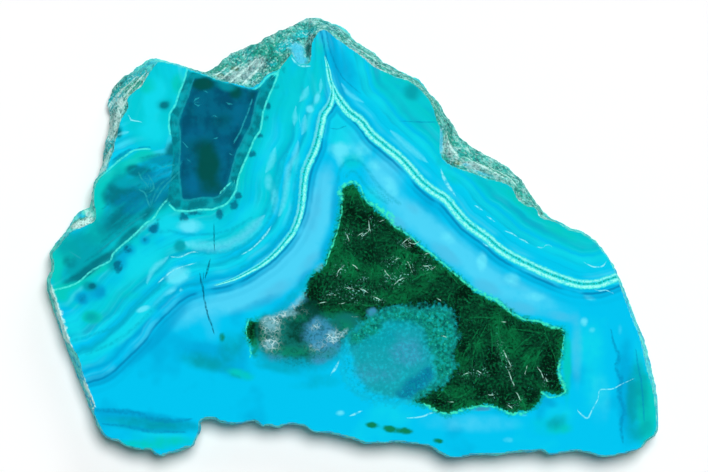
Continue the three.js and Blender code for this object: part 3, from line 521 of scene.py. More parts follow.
BODY_WASHES = (
    Wash("turquoise", Hue.TURQUOISE, (
        (150, 110, 26, 42, 0, 1.0), (290, 95, 20, 40, 10, 0.7), (262, 190, 18, 34, 12, 0.5),
        (318, 70, 10, 30, 0, 0.7), (410, 95, 34, 18, 38, 0.8), (500, 185, 40, 12, 30, 0.7),
        (575, 238, 36, 12, 30, 0.6), (140, 262, 40, 22, -30, 0.5), (160, 440, 34, 8, 6, 0.5),
        (352, 160, 12, 10, 0, 0.6), (225, 235, 24, 14, 0, 0.4), (645, 410, 12, 44, -6, 0.9),
        (550, 425, 24, 12, 0, 0.5), (96, 300, 30, 18, 0, 0.5), (440, 150, 10, 30, -30, 0.5),
        (100, 350, 30, 6, -38, 0.4), (205, 220, 30, 8, 0, 0.4),
    ), 0.85),
    Wash("aqua", Hue.AQUA, (
        (152, 104, 9, 22, 0, 0.9), (160, 90, 8, 12, 0, 0.7), (152, 133, 16, 11, 0, 0.7),
        (140, 262, 22, 14, -30, 0.8), (75, 328, 10, 16, 0, 0.6), (112, 342, 34, 6, -38, 0.6),
        (265, 150, 9, 30, 15, 0.5), (250, 212, 18, 9, -25, 0.6), (166, 226, 12, 12, 0, 0.8),
        (205, 262, 30, 6, -12, 0.5), (146, 314, 12, 5, -35, 0.7), (130, 330, 18, 5, -42, 0.6),
        (285, 200, 6, 26, 8, 0.5), (200, 226, 26, 8, 0, 0.6), (340, 130, 14, 26, 0, 0.7),
        (300, 110, 14, 30, 8, 0.4), (560, 415, 16, 12, 0, 0.5), (376, 196, 14, 10, 35, 0.7),
        (165, 435, 30, 5, 4, 0.5), (588, 345, 18, 26, 0, 0.6), (596, 392, 14, 22, 0, 0.5),
        (640, 360, 6, 20, -8, 0.5),
    ), 0.85),
    Wash("sky", Hue.SKY, (
        (320, 200, 11, 30, 12, 0.9), (308, 240, 12, 34, 25, 1.0), (280, 274, 34, 13, -38, 1.0),
        (240, 298, 34, 11, -18, 0.9), (352, 136, 14, 12, 0, 0.3), (386, 172, 16, 18, -35, 0.7),
        (420, 222, 44, 12, 38, 0.85), (470, 262, 40, 12, 38, 0.75), (520, 294, 42, 12, 22, 0.65),
        (575, 345, 14, 40, 0, 0.15), (480, 424, 44, 9, 0, 0.4), (600, 400, 12, 30, 0, 0.3),
        (430, 420, 60, 10, 0, 0.15), (190, 312, 26, 12, -35, 0.5), (212, 330, 10, 16, 0, 0.3),
    ), 0.95),
    Wash("periwinkle", Hue.PERIWINKLE, (
        (398, 224, 12, 6, 38, 0.8), (446, 254, 18, 6, 38, 0.9), (487, 287, 14, 6, 25, 0.9),
        (520, 307, 18, 6, 15, 0.8), (560, 316, 14, 5, 10, 0.6), (310, 262, 14, 6, -45, 0.7),
        (276, 290, 22, 7, -30, 0.7), (577, 350, 6, 34, 0, 0.5), (314, 214, 7, 26, 14, 0.7),
        (330, 175, 6, 14, 5, 0.4), (412, 208, 10, 5, 38, 0.5), (512, 283, 16, 6, 25, 0.5),
    ), 0.75),
    Wash("deep", Hue.DEEP_CYAN, (
        (212, 354, 30, 12, 12, 0.8), (236, 372, 16, 8, 10, 0.6), (130, 415, 46, 5, 6, 0.8),
        (160, 425, 36, 7, 4, 0.8), (345, 70, 12, 26, -25, 0.6), (626, 390, 8, 46, 0, 0.9),
        (225, 288, 30, 4, -14, 0.6), (150, 345, 40, 5, -42, 0.8), (172, 318, 24, 4, -42, 0.7),
        (100, 378, 18, 6, -20, 0.7), (335, 205, 5, 26, 4, 0.7), (327, 248, 6, 16, 22, 0.7),
        (305, 276, 12, 5, -45, 0.6), (262, 302, 22, 5, -22, 0.6), (285, 305, 16, 5, -20, 0.6),
        (585, 285, 26, 4, 0, 0.6), (180, 300, 24, 4, -35, 0.4), (318, 358, 20, 10, -15, 0.6),
        (548, 402, 10, 5, 20, 0.7), (540, 412, 6, 10, 0, 0.5), (500, 412, 14, 4, 10, 0.4),
        (236, 318, 8, 10, 0, 0.4), (244, 345, 6, 16, 0, 0.6), (480, 250, 30, 3, 38, 0.5),
        (380, 195, 4, 14, -35, 0.3), (97, 292, 9, 8, 0, 0.9), (82, 298, 7, 7, 0, 0.9),
        (120, 262, 8, 9, 0, 0.8), (129, 250, 7, 6, 0, 0.8), (145, 240, 5, 5, 0, 0.8),
        (154, 229, 6, 5, 0, 0.8), (400, 88, 22, 4, 38, 0.4), (470, 190, 20, 3, 42, 0.3),
        (430, 160, 20, 4, 42, 0.3),
    ), 0.75),
    Wash("green_turquoise", Hue.GREEN_TURQUOISE, (
        (118, 172, 26, 7, -35, 1.0), (145, 156, 12, 5, -5, 0.9), (98, 198, 9, 28, 5, 1.0),
        (64, 250, 16, 16, 0, 1.0), (56, 270, 6, 14, 0, 0.9), (95, 235, 14, 10, 0, 0.9),
        (147, 86, 9, 8, 0, 0.7), (70, 286, 20, 4, -15, 0.8), (62, 296, 8, 6, 0, 0.7),
        (100, 270, 16, 4, -28, 0.7), (646, 412, 9, 32, -6, 0.9), (650, 402, 7, 16, 0, 0.9),
        (170, 441, 26, 5, 0, 0.6), (560, 428, 14, 6, 0, 0.6), (92, 317, 10, 6, 0, 1.0),
        (178, 84, 7, 11, 0, 0.7), (450, 178, 12, 5, 30, 0.5), (520, 200, 20, 5, 35, 0.7),
        (130, 296, 14, 6, 0, 0.4), (405, 78, 24, 5, 35, 0.5), (567, 364, 4, 32, 0, 0.9),
        (560, 232, 24, 5, 25, 0.5), (360, 58, 20, 4, 35, 0.3), (320, 45, 8, 10, 0, 0.4),
        (140, 445, 30, 4, 6, 0.6), (268, 345, 20, 10, 0, 0.3), (240, 374, 14, 5, 15, 0.7),
        (75, 306, 10, 4, 0, 0.4),
    ), 0.9),
    Wash("teal", Hue.TEAL, (
        (205, 362, 24, 9, 12, 0.7), (150, 426, 50, 7, 4, 0.5), (632, 400, 6, 26, 0, 0.8),
        (235, 352, 10, 10, 0, 0.4), (225, 345, 8, 16, 10, 0.4), (180, 85, 4, 10, 20, 0.3),
        (560, 418, 10, 6, 0, 0.4), (310, 386, 24, 6, 0, 0.3), (116, 192, 8, 22, 10, 0.8),
        (134, 187, 22, 12, -15, 0.9), (112, 225, 20, 14, -35, 0.9), (84, 264, 24, 9, -35, 0.9),
        (140, 212, 22, 8, -35, 0.9), (160, 160, 18, 6, 0, 0.8), (412, 92, 9, 8, 20, 0.8),
        (642, 385, 7, 30, -8, 0.6), (180, 246, 6, 6, 0, 0.9), (92, 317, 8, 6, 0, 0.6),
        (150, 422, 46, 5, 4, 0.4), (640, 432, 16, 12, -30, 0.5), (554, 425, 10, 6, 0, 0.5),
        (300, 62, 8, 12, 0, 0.3), (282, 368, 26, 7, 10, 0.5), (330, 378, 20, 8, 0, 0.3),
        (165, 105, 9, 7, 0, 0.6), (119, 132, 4, 7, 0, 0.8), (122, 156, 14, 3, -32, 0.6),
        (78, 244, 22, 14, -20, 0.8), (175, 155, 8, 10, 0, 0.7), (90, 286, 8, 5, 0, 0.8),
        (113, 264, 6, 8, 0, 0.7), (240, 340, 8, 10, 0, 0.4), (440, 162, 5, 6, 0, 0.4),
        (480, 183, 24, 2.5, 30, 0.3), (165, 200, 14, 8, -40, 0.8),
    ), 0.85),
    Wash("deep_teal", Hue.DEEP_TEAL, (
        (126, 196, 18, 8, -10, 0.9), (110, 192, 8, 10, 0, 0.6), (150, 196, 7, 7, 0, 0.9),
        (162, 183, 12, 4, -25, 0.9), (122, 216, 24, 8, -38, 0.8), (98, 262, 18, 4, -32, 0.8),
        (80, 276, 16, 4, -25, 0.9), (70, 262, 8, 6, 0, 0.6), (128, 236, 18, 4, -42, 0.8),
        (148, 214, 10, 4, -48, 0.7), (145, 172, 12, 8, 0, 0.7), (133, 170, 8, 5, 0, 0.8),
        (174, 150, 8, 8, 0, 0.9), (165, 105, 4.5, 3.5, 0, 1.0), (119, 133, 2.5, 5, 0, 0.8),
        (92, 286, 4, 3, 0, 0.8), (166, 196, 9, 6, -40, 0.8),
    ), 0.9),
    Wash("lobe_blue", Hue.DEEP_BLUE, (
        (165, 190, 14, 6, -45, 0.9), (150, 180, 10, 8, 0, 0.8), (172, 178, 6, 8, 0, 0.7),
        (140, 205, 20, 6, -30, 0.7), (163, 173, 12, 5, -15, 0.8), (168, 161, 14, 4, -5, 0.7),
        (128, 198, 14, 6, -20, 0.8), (160, 160, 14, 4, -10, 0.8), (132, 186, 12, 3, 0, 0.5),
        (100, 292, 6, 6, 0, 0.7), (83, 299, 5, 6, 0, 0.7), (158, 205, 6, 3, -40, 0.5),
    ), 0.5, 0.25),
    Wash("ink", Hue.INK_BLUE, (
        (118, 266, 4, 6, 0, 1.0), (128, 249, 4, 4, 0, 0.8), (145, 240, 3, 3, 0, 0.4),
        (153, 229, 4, 3.5, 0, 1.0), (157, 224, 2.5, 6, 20, 0.6), (252, 154, 3.5, 3.5, 0, 1.0),
        (268, 106, 3, 3.5, 0, 0.8), (276, 86, 3.5, 3, 0, 0.5), (266, 118, 2.5, 3, 0, 0.6),
        (260, 136, 3, 2.5, 0, 0.7), (238, 196, 3.5, 3.5, 0, 0.9), (234, 205, 4, 4.5, 0, 1.0),
        (220, 214, 3.5, 5, 0, 0.9), (184, 217, 4.5, 4.5, 0, 0.9), (193, 213, 5, 2.5, 0, 0.7),
        (201, 213, 6, 2, 0, 0.5), (284, 70, 2.5, 4, 0, 0.4), (93, 286, 3, 3, 0, 0.6),
        (82, 298, 4, 4, 0, 0.4), (174, 187, 5, 6, 0, 0.5),
    ), 0.8, 0.28, 0.6),
    Wash("pale", Hue.PALE_AQUA, (
        (178, 275, 10, 7, -20, 1.0), (190, 226, 11, 6, 0, 0.8), (143, 309, 6, 2.5, -20, 0.9),
        (170, 292, 6, 2.5, -30, 0.6), (181, 290, 1.4, 1.4, 0, 1.0), (317, 98, 2.5, 6, 15, 0.8),
        (310, 109, 3.5, 3.5, 0, 0.8), (275, 200, 4, 14, 0, 0.5), (268, 182, 4, 8, 0, 0.5),
        (340, 150, 10, 8, 0, 0.7), (362, 150, 10, 10, 0, 0.5), (390, 186, 7, 12, -35, 0.6),
        (374, 168, 8, 8, -20, 0.5), (482, 262, 5, 9, 0, 0.8), (512, 280, 8, 7, 20, 0.6),
        (448, 238, 10, 6, 30, 0.5), (535, 297, 12, 5, 0, 0.5), (508, 440, 5, 3, 0, 0.5),
        (340, 413, 4, 2.5, 0, 0.7), (590, 298, 6, 2.5, 20, 0.6), (584, 322, 3.5, 4, 0, 0.8),
        (592, 330, 3, 3, 0, 0.6), (620, 330, 3, 6, 0, 0.3), (268, 330, 3, 3, 0, 0.2),
        (325, 128, 2, 12, 8, 0.4), (420, 246, 8, 3, 38, 0.3), (340, 160, 4, 8, 0, 0.4),
        (524, 415, 3, 1.6, 0, 0.6),
    ), 0.8, 0.18, 1.2),
)
POCKET_WASHES = (
    Wash("pocket_blue", Hue.POCKET_BLUE, (
        (192, 184, 8, 10, 0, 0.8), (196, 134, 16, 10, 0, 0.5), (222, 150, 10, 16, 15, 0.5),
        (240, 112, 8, 12, 15, 0.5), (210, 108, 20, 8, 0, 0.3), (178, 158, 6, 8, 0, 0.5),
        (226, 126, 12, 6, 0, 0.4),
    ), 0.7),
    Wash("green_black", Hue.GREEN_BLACK, (
        (208, 166, 11, 19, 0, 1.0), (203, 84, 11, 6, 0, 1.0), (236, 92, 7, 7, 0, 0.8),
        (200, 145, 14, 10, 0, 0.4), (222, 122, 12, 10, 0, 0.4), (214, 188, 12, 6, 0, 0.5),
        (252, 95, 5, 5, 0, 0.4), (190, 110, 6, 10, 0, 0.3),
    ), 0.95, 0.1),
    Wash("pocket_bright", Hue.TEAL, (
        (226, 86, 10, 5, 15, 0.8), (262, 92, 4, 8, 0, 0.5), (243, 132, 5, 4, -20, 0.5),
        (196, 76, 8, 2.5, 0, 0.9), (176, 120, 3, 8, 0, 0.5), (225, 205, 5, 3, 0, 0.4),
    ), 0.7),
)
HEART_WASHES = (
    Wash("lace_teal", Hue.LACE_TEAL, (
        (284, 330, 18, 14, 0, 1.0), (300, 344, 26, 13, 6, 1.0), (322, 335, 22, 16, 0, 1.0),
        (268, 345, 10, 10, 0, 0.8), (290, 360, 26, 5, 4, 0.5), (300, 316, 16, 8, 0, 0.9),
        (340, 330, 10, 14, 0, 0.8), (266, 328, 8, 12, 0, 0.9), (351, 322, 10, 8, 0, 0.9),
    ), 1.0, 0.1, 0.8),
    Wash("lace_dark", Hue.LACE_DARK, (
        (302, 327, 9, 12, 8, 1.0), (310, 313, 8, 12, 12, 1.0), (261, 331, 3, 8, 0, 0.9),
        (290, 330, 6, 7, 0, 0.4), (278, 318, 3, 3, 0, 0.8), (288, 318, 3, 3, 0, 0.5),
        (264, 338, 5, 5, 0, 0.8), (296, 338, 7, 4, 0, 0.6), (282, 345, 6, 3, 0, 0.4),
        (275, 334, 5, 3, 30, 0.5), (309, 337, 6, 4, 0, 0.5), (300, 307, 8, 5, -35, 0.7),
        (312, 320, 10, 5, 0, 0.8),
    ), 0.95, 0.25, 0.7),
    Wash("lace_haze", Hue.DEEP_TURQUOISE, (
        (292, 298, 12, 6, -50, 0.7), (304, 284, 8, 5, -50, 0.5), (279, 312, 9, 5, -20, 0.6),
        (290, 364, 30, 7, 4, 0.8), (330, 358, 18, 7, -24, 0.8), (262, 356, 8, 10, 0, 0.5),
        (348, 342, 6, 14, 0, 0.6),
    ), 0.7, 0.2, 1.0),
    Wash("lace_blue", Hue.LACE_BLUE, (
        (318, 334, 14, 13, 0, 1.0), (330, 342, 10, 10, 0, 0.8), (372, 312, 5, 4, 0, 0.9),
        (322, 356, 12, 7, -20, 0.7), (276, 356, 12, 6, 0, 0.5), (318, 322, 6, 5, 0, 0.6),
        (304, 300, 5, 4, 0, 0.4), (482, 409, 10, 2, -4, 0.8),
    ), 0.9, 0.2, 0.9),
    Wash("lace_green", Hue.MOTTLE_GREEN, (
        (255, 348, 4, 9, 0, 0.8), (263, 336, 3, 8, 0, 0.6), (282, 352, 16, 6, 0, 0.6),
        (306, 352, 16, 6, 0, 0.5), (334, 317, 14, 5, 20, 0.3), (347, 327, 7, 7, 0, 0.5),
        (300, 318, 10, 5, 0, 0.5), (330, 352, 12, 6, -30, 0.4),
    ), 0.85, 0.2, 0.7),
    Wash("lilac", Hue.LILAC, (
        (271, 325, 8, 8, 0, 0.75), (288, 314, 12, 3.5, -5, 0.55), (302, 294, 10, 5, -50, 0.2),
        (319, 267, 6, 4, -45, 0.4), (270, 344, 7, 6, 0, 0.8), (332, 336, 5, 6, 0, 0.8),
        (318, 346, 8, 4, 0, 0.4), (342, 334, 8, 2.5, -40, 0.6), (295, 305, 12, 3.5, -45, 0.5),
        (268, 320, 8, 3, 0, 0.6), (315, 326, 4, 4, 0, 0.5),
    ), 0.7, 0.2, 0.5),
)
MOTTLE_WASHES = (
    Wash("mottle_blue", Hue.LACE_BLUE, (
        (408, 352, 17, 13, 0, 0.9), (365, 374, 16, 12, 0, 0.5), (398, 332, 12, 5, 0, 0.2),
        (390, 376, 12, 8, 0, 0.4),
    ), 0.6, 0.15, 0.8),
    Wash("mottle_deep", Hue.POCKET_BLUE, (
        (414, 386, 15, 9, -40, 0.8), (428, 374, 6, 8, 0, 0.8), (402, 394, 8, 5, 0, 0.5),
        (392, 335, 10, 4, 0, 0.4), (340, 352, 8, 5, 0, 0.3), (355, 347, 8, 3, 0, 0.3),
    ), 0.85, 0.12, 1.0),
    Wash("mottle_clear", Hue.CYAN, (
        (352, 388, 16, 12, 40, 0.9), (346, 366, 9, 16, 0, 0.8), (372, 400, 20, 7, 10, 0.9),
        (395, 403, 14, 5, 0, 0.7), (343, 345, 6, 8, 0, 0.4),
    ), 0.9, 0.15, 0.8),
    Wash("mottle_shade", Hue.TEAL, (
        (380, 338, 16, 10, 0, 0.9), (400, 324, 18, 6, 0, 0.7), (362, 352, 8, 10, 0, 0.5),
        (424, 346, 8, 14, 0, 0.5),
    ), 0.7, 0.2, 0.8),
    Wash("mottle_green", Hue.MOTTLE_GREEN, (
        (440, 320, 14, 12, 0, 1.0), (438, 336, 12, 18, 0, 0.9), (452, 345, 9, 22, 0, 1.0),
        (445, 366, 10, 14, 0, 1.0), (400, 313, 26, 7, 0, 0.9), (370, 326, 12, 9, -30, 1.0),
        (356, 336, 9, 7, -40, 0.9), (452, 368, 8, 10, 0, 0.9), (425, 318, 16, 8, 0, 0.6),
        (434, 390, 14, 7, -35, 0.8), (420, 396, 8, 5, -30, 0.6),
    ), 0.8, 0.2, 0.6),
)
MALACHITE_WASHES = (
    Wash("black_green", Hue.MALACHITE_BLACK, (
        (365, 218, 16, 8, 20, 0.7), (414, 256, 6, 16, 20, 0.9), (372, 256, 12, 18, 0, 0.5),
        (312, 292, 9, 16, 10, 0.8), (316, 306, 6, 10, 0, 0.9), (466, 292, 8, 14, 40, 0.8),
        (430, 302, 14, 5, 0, 0.7), (550, 366, 8, 18, 0, 1.0), (556, 385, 8, 8, 0, 0.8),
        (492, 362, 7, 16, 0, 0.8), (455, 318, 5, 10, 0, 0.8), (464, 345, 6, 12, 0, 0.7),
        (480, 392, 12, 10, 30, 0.7), (505, 398, 10, 12, 30, 0.7), (440, 402, 8, 8, 0, 0.7),
        (530, 398, 8, 8, 0, 0.7), (350, 210, 6, 10, 0, 0.5), (520, 330, 16, 3, 10, 0.6),
        (410, 243, 8, 4, 0, 0.8), (476, 330, 6, 8, 0, 0.5), (350, 280, 8, 10, 0, 0.3),
        (340, 225, 6, 10, 0, 0.4), (254, 332, 5, 8, 0, 0.8), (390, 226, 10, 6, 35, 0.5),
    ), 0.88, 0.25, 1.0),
    Wash("emerald", Hue.EMERALD, (
        (404, 256, 12, 7, 20, 1.0), (350, 265, 10, 11, 0, 0.9), (350, 275, 8, 8, 0, 0.7),
        (375, 272, 12, 8, 0, 0.7), (398, 276, 12, 10, 0, 0.6), (428, 275, 10, 8, 0, 0.8),
        (345, 312, 26, 6, 0, 0.6), (380, 296, 12, 6, 0, 0.6), (400, 300, 10, 6, 0, 0.7),
        (497, 325, 6, 18, 0, 0.8), (512, 340, 8, 12, 20, 0.8), (530, 360, 8, 12, 30, 0.8),
        (510, 352, 10, 6, 0, 0.6), (462, 362, 8, 8, 0, 0.6), (460, 392, 16, 8, 0, 0.6),
        (480, 345, 6, 10, 20, 0.5), (522, 402, 6, 8, 0, 0.7), (352, 192, 6, 6, 0, 0.9),
        (336, 250, 6, 16, 20, 0.7), (560, 345, 3, 12, 0, 0.7), (330, 266, 6, 8, 0, 0.6),
        (470, 404, 20, 3, -4, 0.8), (505, 332, 12, 5, 0, 0.4), (415, 290, 16, 6, 0, 0.5),
        (252, 340, 4, 5, 0, 0.6), (540, 385, 10, 6, 0, 0.4), (440, 268, 8, 4, 30, 0.5),
        (345, 236, 6, 6, 0, 0.5),
    ), 0.66, 0.25, 0.8),
)
FLECKS = Wash("flecks", Hue.MINT_WHITE, (
    (341, 270, 5, 7, 30, 1.0), (397, 280, 11, 5, -20, 1.0), (354, 290, 15, 4, 8, 1.0),
    (350, 299, 10, 3, 20, 0.8), (428, 268, 6, 5, 0, 0.8), (480, 372, 7, 5, 0, 0.9),
    (363, 277, 6, 4, 20, 0.8), (378, 299, 5, 3, 30, 0.9), (408, 268, 5, 8, 20, 0.7),
    (348, 236, 4, 6, 0, 0.8), (366, 234, 5, 3, -30, 0.8), (406, 244, 6, 4, 0, 0.7),
    (388, 272, 4, 5, 30, 0.8), (505, 360, 4, 16, -18, 0.8), (330, 296, 5, 3, 0, 0.7),
    (373, 224, 4, 7, 0, 0.5), (465, 375, 4, 4, 0, 0.6), (547, 378, 4, 8, 0, 0.5), (492, 396, 5, 4, 0, 0.6),
    (512, 406, 6, 4, 40, 0.5), (426, 256, 4, 3, 0, 0.6), (352, 318, 6, 2, 0, 0.6), (393, 262, 8, 5, 0, 0.5),
    (520, 398, 3, 5, 0, 0.6),
), 1.0, 0.1, 0.8)
LEAF_SPOTS = Wash("leaf", Hue.LEAF, (
    (372, 425, 6, 2.6, 8, 1.0), (390, 429, 7, 3, 10, 1.0), (405, 431, 7, 3, 4, 1.0),
    (438, 441, 5, 2.2, 10, 0.9), (222, 337, 3, 4.5, 0, 0.7), (236, 376, 7, 2.4, 20, 0.4),
), 0.95, 0.15, 0.8)
RIND_WASHES = (
    Wash("rind_teal", Hue.RIND_TEAL, (
        (229, 56, 7, 4, -20, 1.0), (221, 62, 7, 3, -30, 0.9), (279, 45, 10, 18, 25, 0.9),
        (265, 42, 8, 4, -35, 0.8), (313, 20, 10, 5, 0, 0.9), (456, 131, 6, 8, -30, 0.9),
        (432, 108, 6, 16, -28, 0.9), (130, 76, 18, 7, -40, 0.8), (137, 82, 8, 6, 0, 0.8),
        (107, 148, 5, 14, 0, 0.8), (500, 165, 16, 3, 30, 0.8), (522, 188, 8, 4, 50, 0.7),
        (446, 158, 5, 3, 0, 0.8), (296, 34, 6, 6, 0, 0.6), (405, 82, 20, 3, 30, 0.5),
        (85, 214, 5, 4, 0, 0.8), (275, 66, 6, 8, 20, 0.6), (250, 62, 14, 3, -25, 0.4),
        (345, 30, 16, 4, 30, 0.4), (480, 155, 16, 3, 30, 0.5),
    ), 0.95, 0.2, 0.5),
    Wash("rind_turquoise", Hue.TURQUOISE, (
        (109, 108, 7, 24, 6, 1.0), (118, 88, 8, 10, -35, 0.9), (110, 136, 6, 12, 0, 0.6),
        (150, 64, 16, 7, -20, 1.0), (312, 19, 8, 4, 0, 0.6), (103, 152, 5, 18, 8, 0.9),
        (200, 72, 12, 3, 20, 0.8), (175, 64, 16, 2.5, 12, 0.8), (292, 38, 14, 7, -35, 0.8),
        (311, 25, 9, 4, 0, 0.7), (274, 60, 6, 5, 0, 0.6), (132, 72, 12, 5, -38, 0.5),
    ), 0.95, 0.1, 0.6),
    Wash("rind_lilac", Hue.RIND_LILAC, (
        (246, 68, 18, 9, -35, 0.8), (262, 56, 8, 7, -35, 0.8), (452, 146, 8, 12, -20, 0.7),
        (118, 112, 4, 10, 0, 0.6), (368, 60, 26, 4, 36, 0.8), (475, 162, 14, 6, 20, 0.7),
        (298, 38, 8, 5, 0, 0.4), (500, 176, 12, 4, 30, 0.6), (520, 196, 5, 6, 0, 0.6),
        (230, 76, 16, 4, 10, 0.5),
    ), 0.75, 0.3, 0.5),
    # Dark rind, and painted shade: the narrow dark patches at about x 302 to 316, y 32 to 55 stand for the
    # shade in the recessed right wall of the sky-blue scoop.
    Wash("rind_dark_and_painted_shade", Hue.RIND_DARK, (
        (226, 75, 8, 4, 20, 0.7), (272, 56, 4, 14, 25, 0.6), (240, 61, 5, 4, 0, 0.5),
        (310, 46, 2, 9, 5, 0.9), (315, 34, 2, 6, -30, 0.8), (450, 162, 5, 3, 20, 0.8),
        (302, 32, 4, 3, 0, 0.6), (118, 131, 3, 6, 0, 0.6), (288, 56, 3, 6, 0, 0.5),
        (256, 82, 8, 3, -20, 0.5), (459, 160, 4, 3, 0, 0.6), (130, 70, 12, 2, -40, 0.5),
    ), 0.8, 0.35, 0.4),
    Wash("rind_olive", Hue.RIND_OLIVE, (
        (240, 60, 4, 3, 0, 0.9), (459, 160, 5, 3, 0, 0.9), (285, 62, 3, 3, 0, 0.6),
        (132, 92, 8, 5, -30, 0.5), (220, 71, 6, 3, 0, 0.5), (446, 166, 4, 2, 0, 0.6),
    ), 0.8, 0.3, 0.4),
    Wash("rind_white", Hue.RIND_WHITE, (
        (84, 222, 10, 7, -20, 1.0), (61, 241, 6, 6, -40, 0.9), (536, 214, 5, 5, 0, 0.8),
        (124, 99, 4, 6, 0, 0.7), (104, 166, 3, 6, 0, 0.5),
    ), 0.85, 0.3, 0.5),
)
SKY_SCOOP = Wash("rind_sky", Hue.SKY, (
    (300, 46, 7, 9, 15, 1.0), (301, 59, 7, 5, 0, 1.0), (441, 141, 3.5, 13, 3, 0.9),
    (468, 162, 5, 3, 0, 0.5), (484, 172, 12, 3, 20, 0.5),
), 0.8, 0.1, 0.6)
CRUST = Wash("crust", Hue.RIND_GREY, (
    (126, 92, 28, 36, 0, 0.9), (113, 138, 7, 18, 0, 0.6), (85, 220, 10, 8, -20, 1.0),
    (250, 55, 60, 34, -30, 1.0), (300, 34, 30, 30, 0, 1.0), (348, 42, 40, 22, 35, 1.0),
    (400, 76, 44, 16, 30, 1.0), (446, 130, 24, 38, -20, 1.0), (480, 156, 46, 24, 30, 1.0),
    (526, 196, 24, 26, 40, 1.0), (548, 220, 12, 8, 30, 0.7),
))
MARKS = (
    VEIN_RIGHT, VEIN_LEFT_SIDE, LOBE_DARK, LOBE_LIGHT, *LINES, FIBRES, RIM, NEEDLES, WHITE_FLANK_WITH_PAINTED_LIGHT,
    RIND_STREAKS,
)
WASHES = (
    *BODY_WASHES, *POCKET_WASHES, *HEART_WASHES, *MOTTLE_WASHES, *MALACHITE_WASHES, FLECKS, LEAF_SPOTS,
    *RIND_WASHES, SKY_SCOOP, CRUST,
)

# Runs of colour, each stop as position, hue and alpha. The ground is even blue. The bands run from the
# outermost inwards on the left, and from the divide outwards on the right, over a width in millimetres.
GROUND_STOPS = (
    (0.3, Hue.DEEP_CYAN, 1.0), (0.42, Hue.CYAN, 1.0), (0.6, Hue.CYAN, 1.0), (0.75, Hue.AQUA, 1.0),
)
LEFT_STOPS = (
    (0.0, Hue.GREEN_TURQUOISE, 1.0), (0.12, Hue.TURQUOISE, 1.0), (0.25, Hue.CYAN, 1.0),
    (0.34, Hue.AQUA, 1.0), (0.44, Hue.TURQUOISE, 1.0), (0.5, Hue.DEEP_TURQUOISE, 1.0),
    (0.55, Hue.AQUA, 1.0), (0.62, Hue.CYAN, 1.0), (0.68, Hue.DEEP_TURQUOISE, 1.0), (0.73, Hue.AQUA, 1.0),
    (0.8, Hue.CLEAR_CYAN, 1.0), (0.88, Hue.DEEP_CYAN, 1.0), (0.93, Hue.CYAN, 1.0),
    (1.0, Hue.DEEP_CYAN, 1.0),
)
RIGHT_BANDS_WIDTH = 12.0
RIGHT_STOPS = (
    (0.0, Hue.CYAN, 1.0), (0.1, Hue.DEEP_CYAN, 1.0), (0.16, Hue.CYAN, 1.0), (0.3, Hue.CLEAR_CYAN, 1.0),
    (0.4, Hue.AQUA, 1.0), (0.44, Hue.CYAN, 1.0), (0.5, Hue.TURQUOISE, 1.0), (0.54, Hue.DEEP_TURQUOISE, 1.0),
    (0.6, Hue.TURQUOISE, 1.0), (0.68, Hue.GREEN_TURQUOISE, 1.0), (0.73, Hue.DEEP_TURQUOISE, 1.0),
    (0.79, Hue.TURQUOISE, 1.0), (0.86, Hue.GREEN_TURQUOISE, 1.0), (1.0, Hue.TURQUOISE, 1.0),
)
RIND_STOPS = (
    (0.34, Hue.RIND_DARK, 1.0), (0.45, Hue.RIND_TEAL, 1.0), (0.54, Hue.RIND_GREY, 1.0),
    (0.7, Hue.RIND_PALE, 1.0),
)

# Thin random layers along the bands: hue, spacing in millimetres, where each starts, and its cover.
GROWTH_LAYERS = (
    (Hue.PALE_AQUA, 1.5, 0.0, 0.28), (Hue.DEEP_TURQUOISE, 1.3, 31.0, 0.5), (Hue.DEEP_CYAN, 0.7, 57.0, 0.25),
)
# The lines along the divide: hue, distance outwards and half width in millimetres, and cover.
DIVIDE_LINES = (
    (Hue.DEEP_CYAN, -0.3, 0.5, 0.5), (Hue.DEEP_BLUE, 0.0, 0.17, 0.85), (Hue.DEEP_BLUE, -0.62, 0.16, 0.22),
    (Hue.DEEP_CYAN, -1.5, 0.35, 0.15),
)

# Places from which the malachite's fibres spread.
FIBRE_FANS = (
    (505, 312), (470, 396), (548, 340), (540, 405), (432, 258), (452, 290), (398, 236), (352, 190),
    (345, 245), (375, 275), (318, 300), (340, 305), (410, 285), (480, 340), (372, 222), (500, 408),
    (254, 332),
)


def rounded(rows: tuple[tuple[float, ...], ...], step: float = 3.0) -> np.ndarray:
    """Draws a smooth curve through given rows.

    Args:
        rows: The rows to pass through, each x, y and perhaps a half width.
        step: The distance between points of the curve, in pixels.

    Returns:
        The curve's rows, with as many numbers each as the rows given.
    """
    knots = np.array(rows, float)
    knots = np.vstack([2 * knots[0] - knots[1], knots, 2 * knots[-1] - knots[-2]])
    curve = []
    # Each stretch is a cubic through its two ends, with its slopes from the knots on either side.
    for before, start, end, after in zip(knots, knots[1:], knots[2:], knots[3:]):
        count = max(1, round(float(np.hypot(*(end - start)[:2])) / step))
        for t in np.arange(count) / count:
            curve.append(0.5 * (
                2 * start + (end - before) * t + (2 * before - 5 * start + 4 * end - after) * t**2
                + (3 * start - before - 3 * end + after) * t**3
            ))
    return np.vstack([curve, knots[-2]])


def places_of(piece: bpy.types.Object) -> np.ndarray:
    """Reads where a piece's vertices are.

    Args:
        piece: The piece.

    Returns:
        One row of x, y, z for each vertex, in metres.
    """
    places = np.zeros(len(piece.data.vertices) * 3)
    piece.data.vertices.foreach_get("co", places)
    return places.reshape(-1, 3)


@dataclass
class Measured:
    """How spots lie against a line, in pixels.

    Across is the distance, positive to the left of the line's run. Along is the place on the run. Beyond is
    how far past the line's two ends the spot lies, and half is the line's half width at that place.
    """

    across: np.ndarray
    along: np.ndarray
    beyond: np.ndarray
    half: np.ndarray


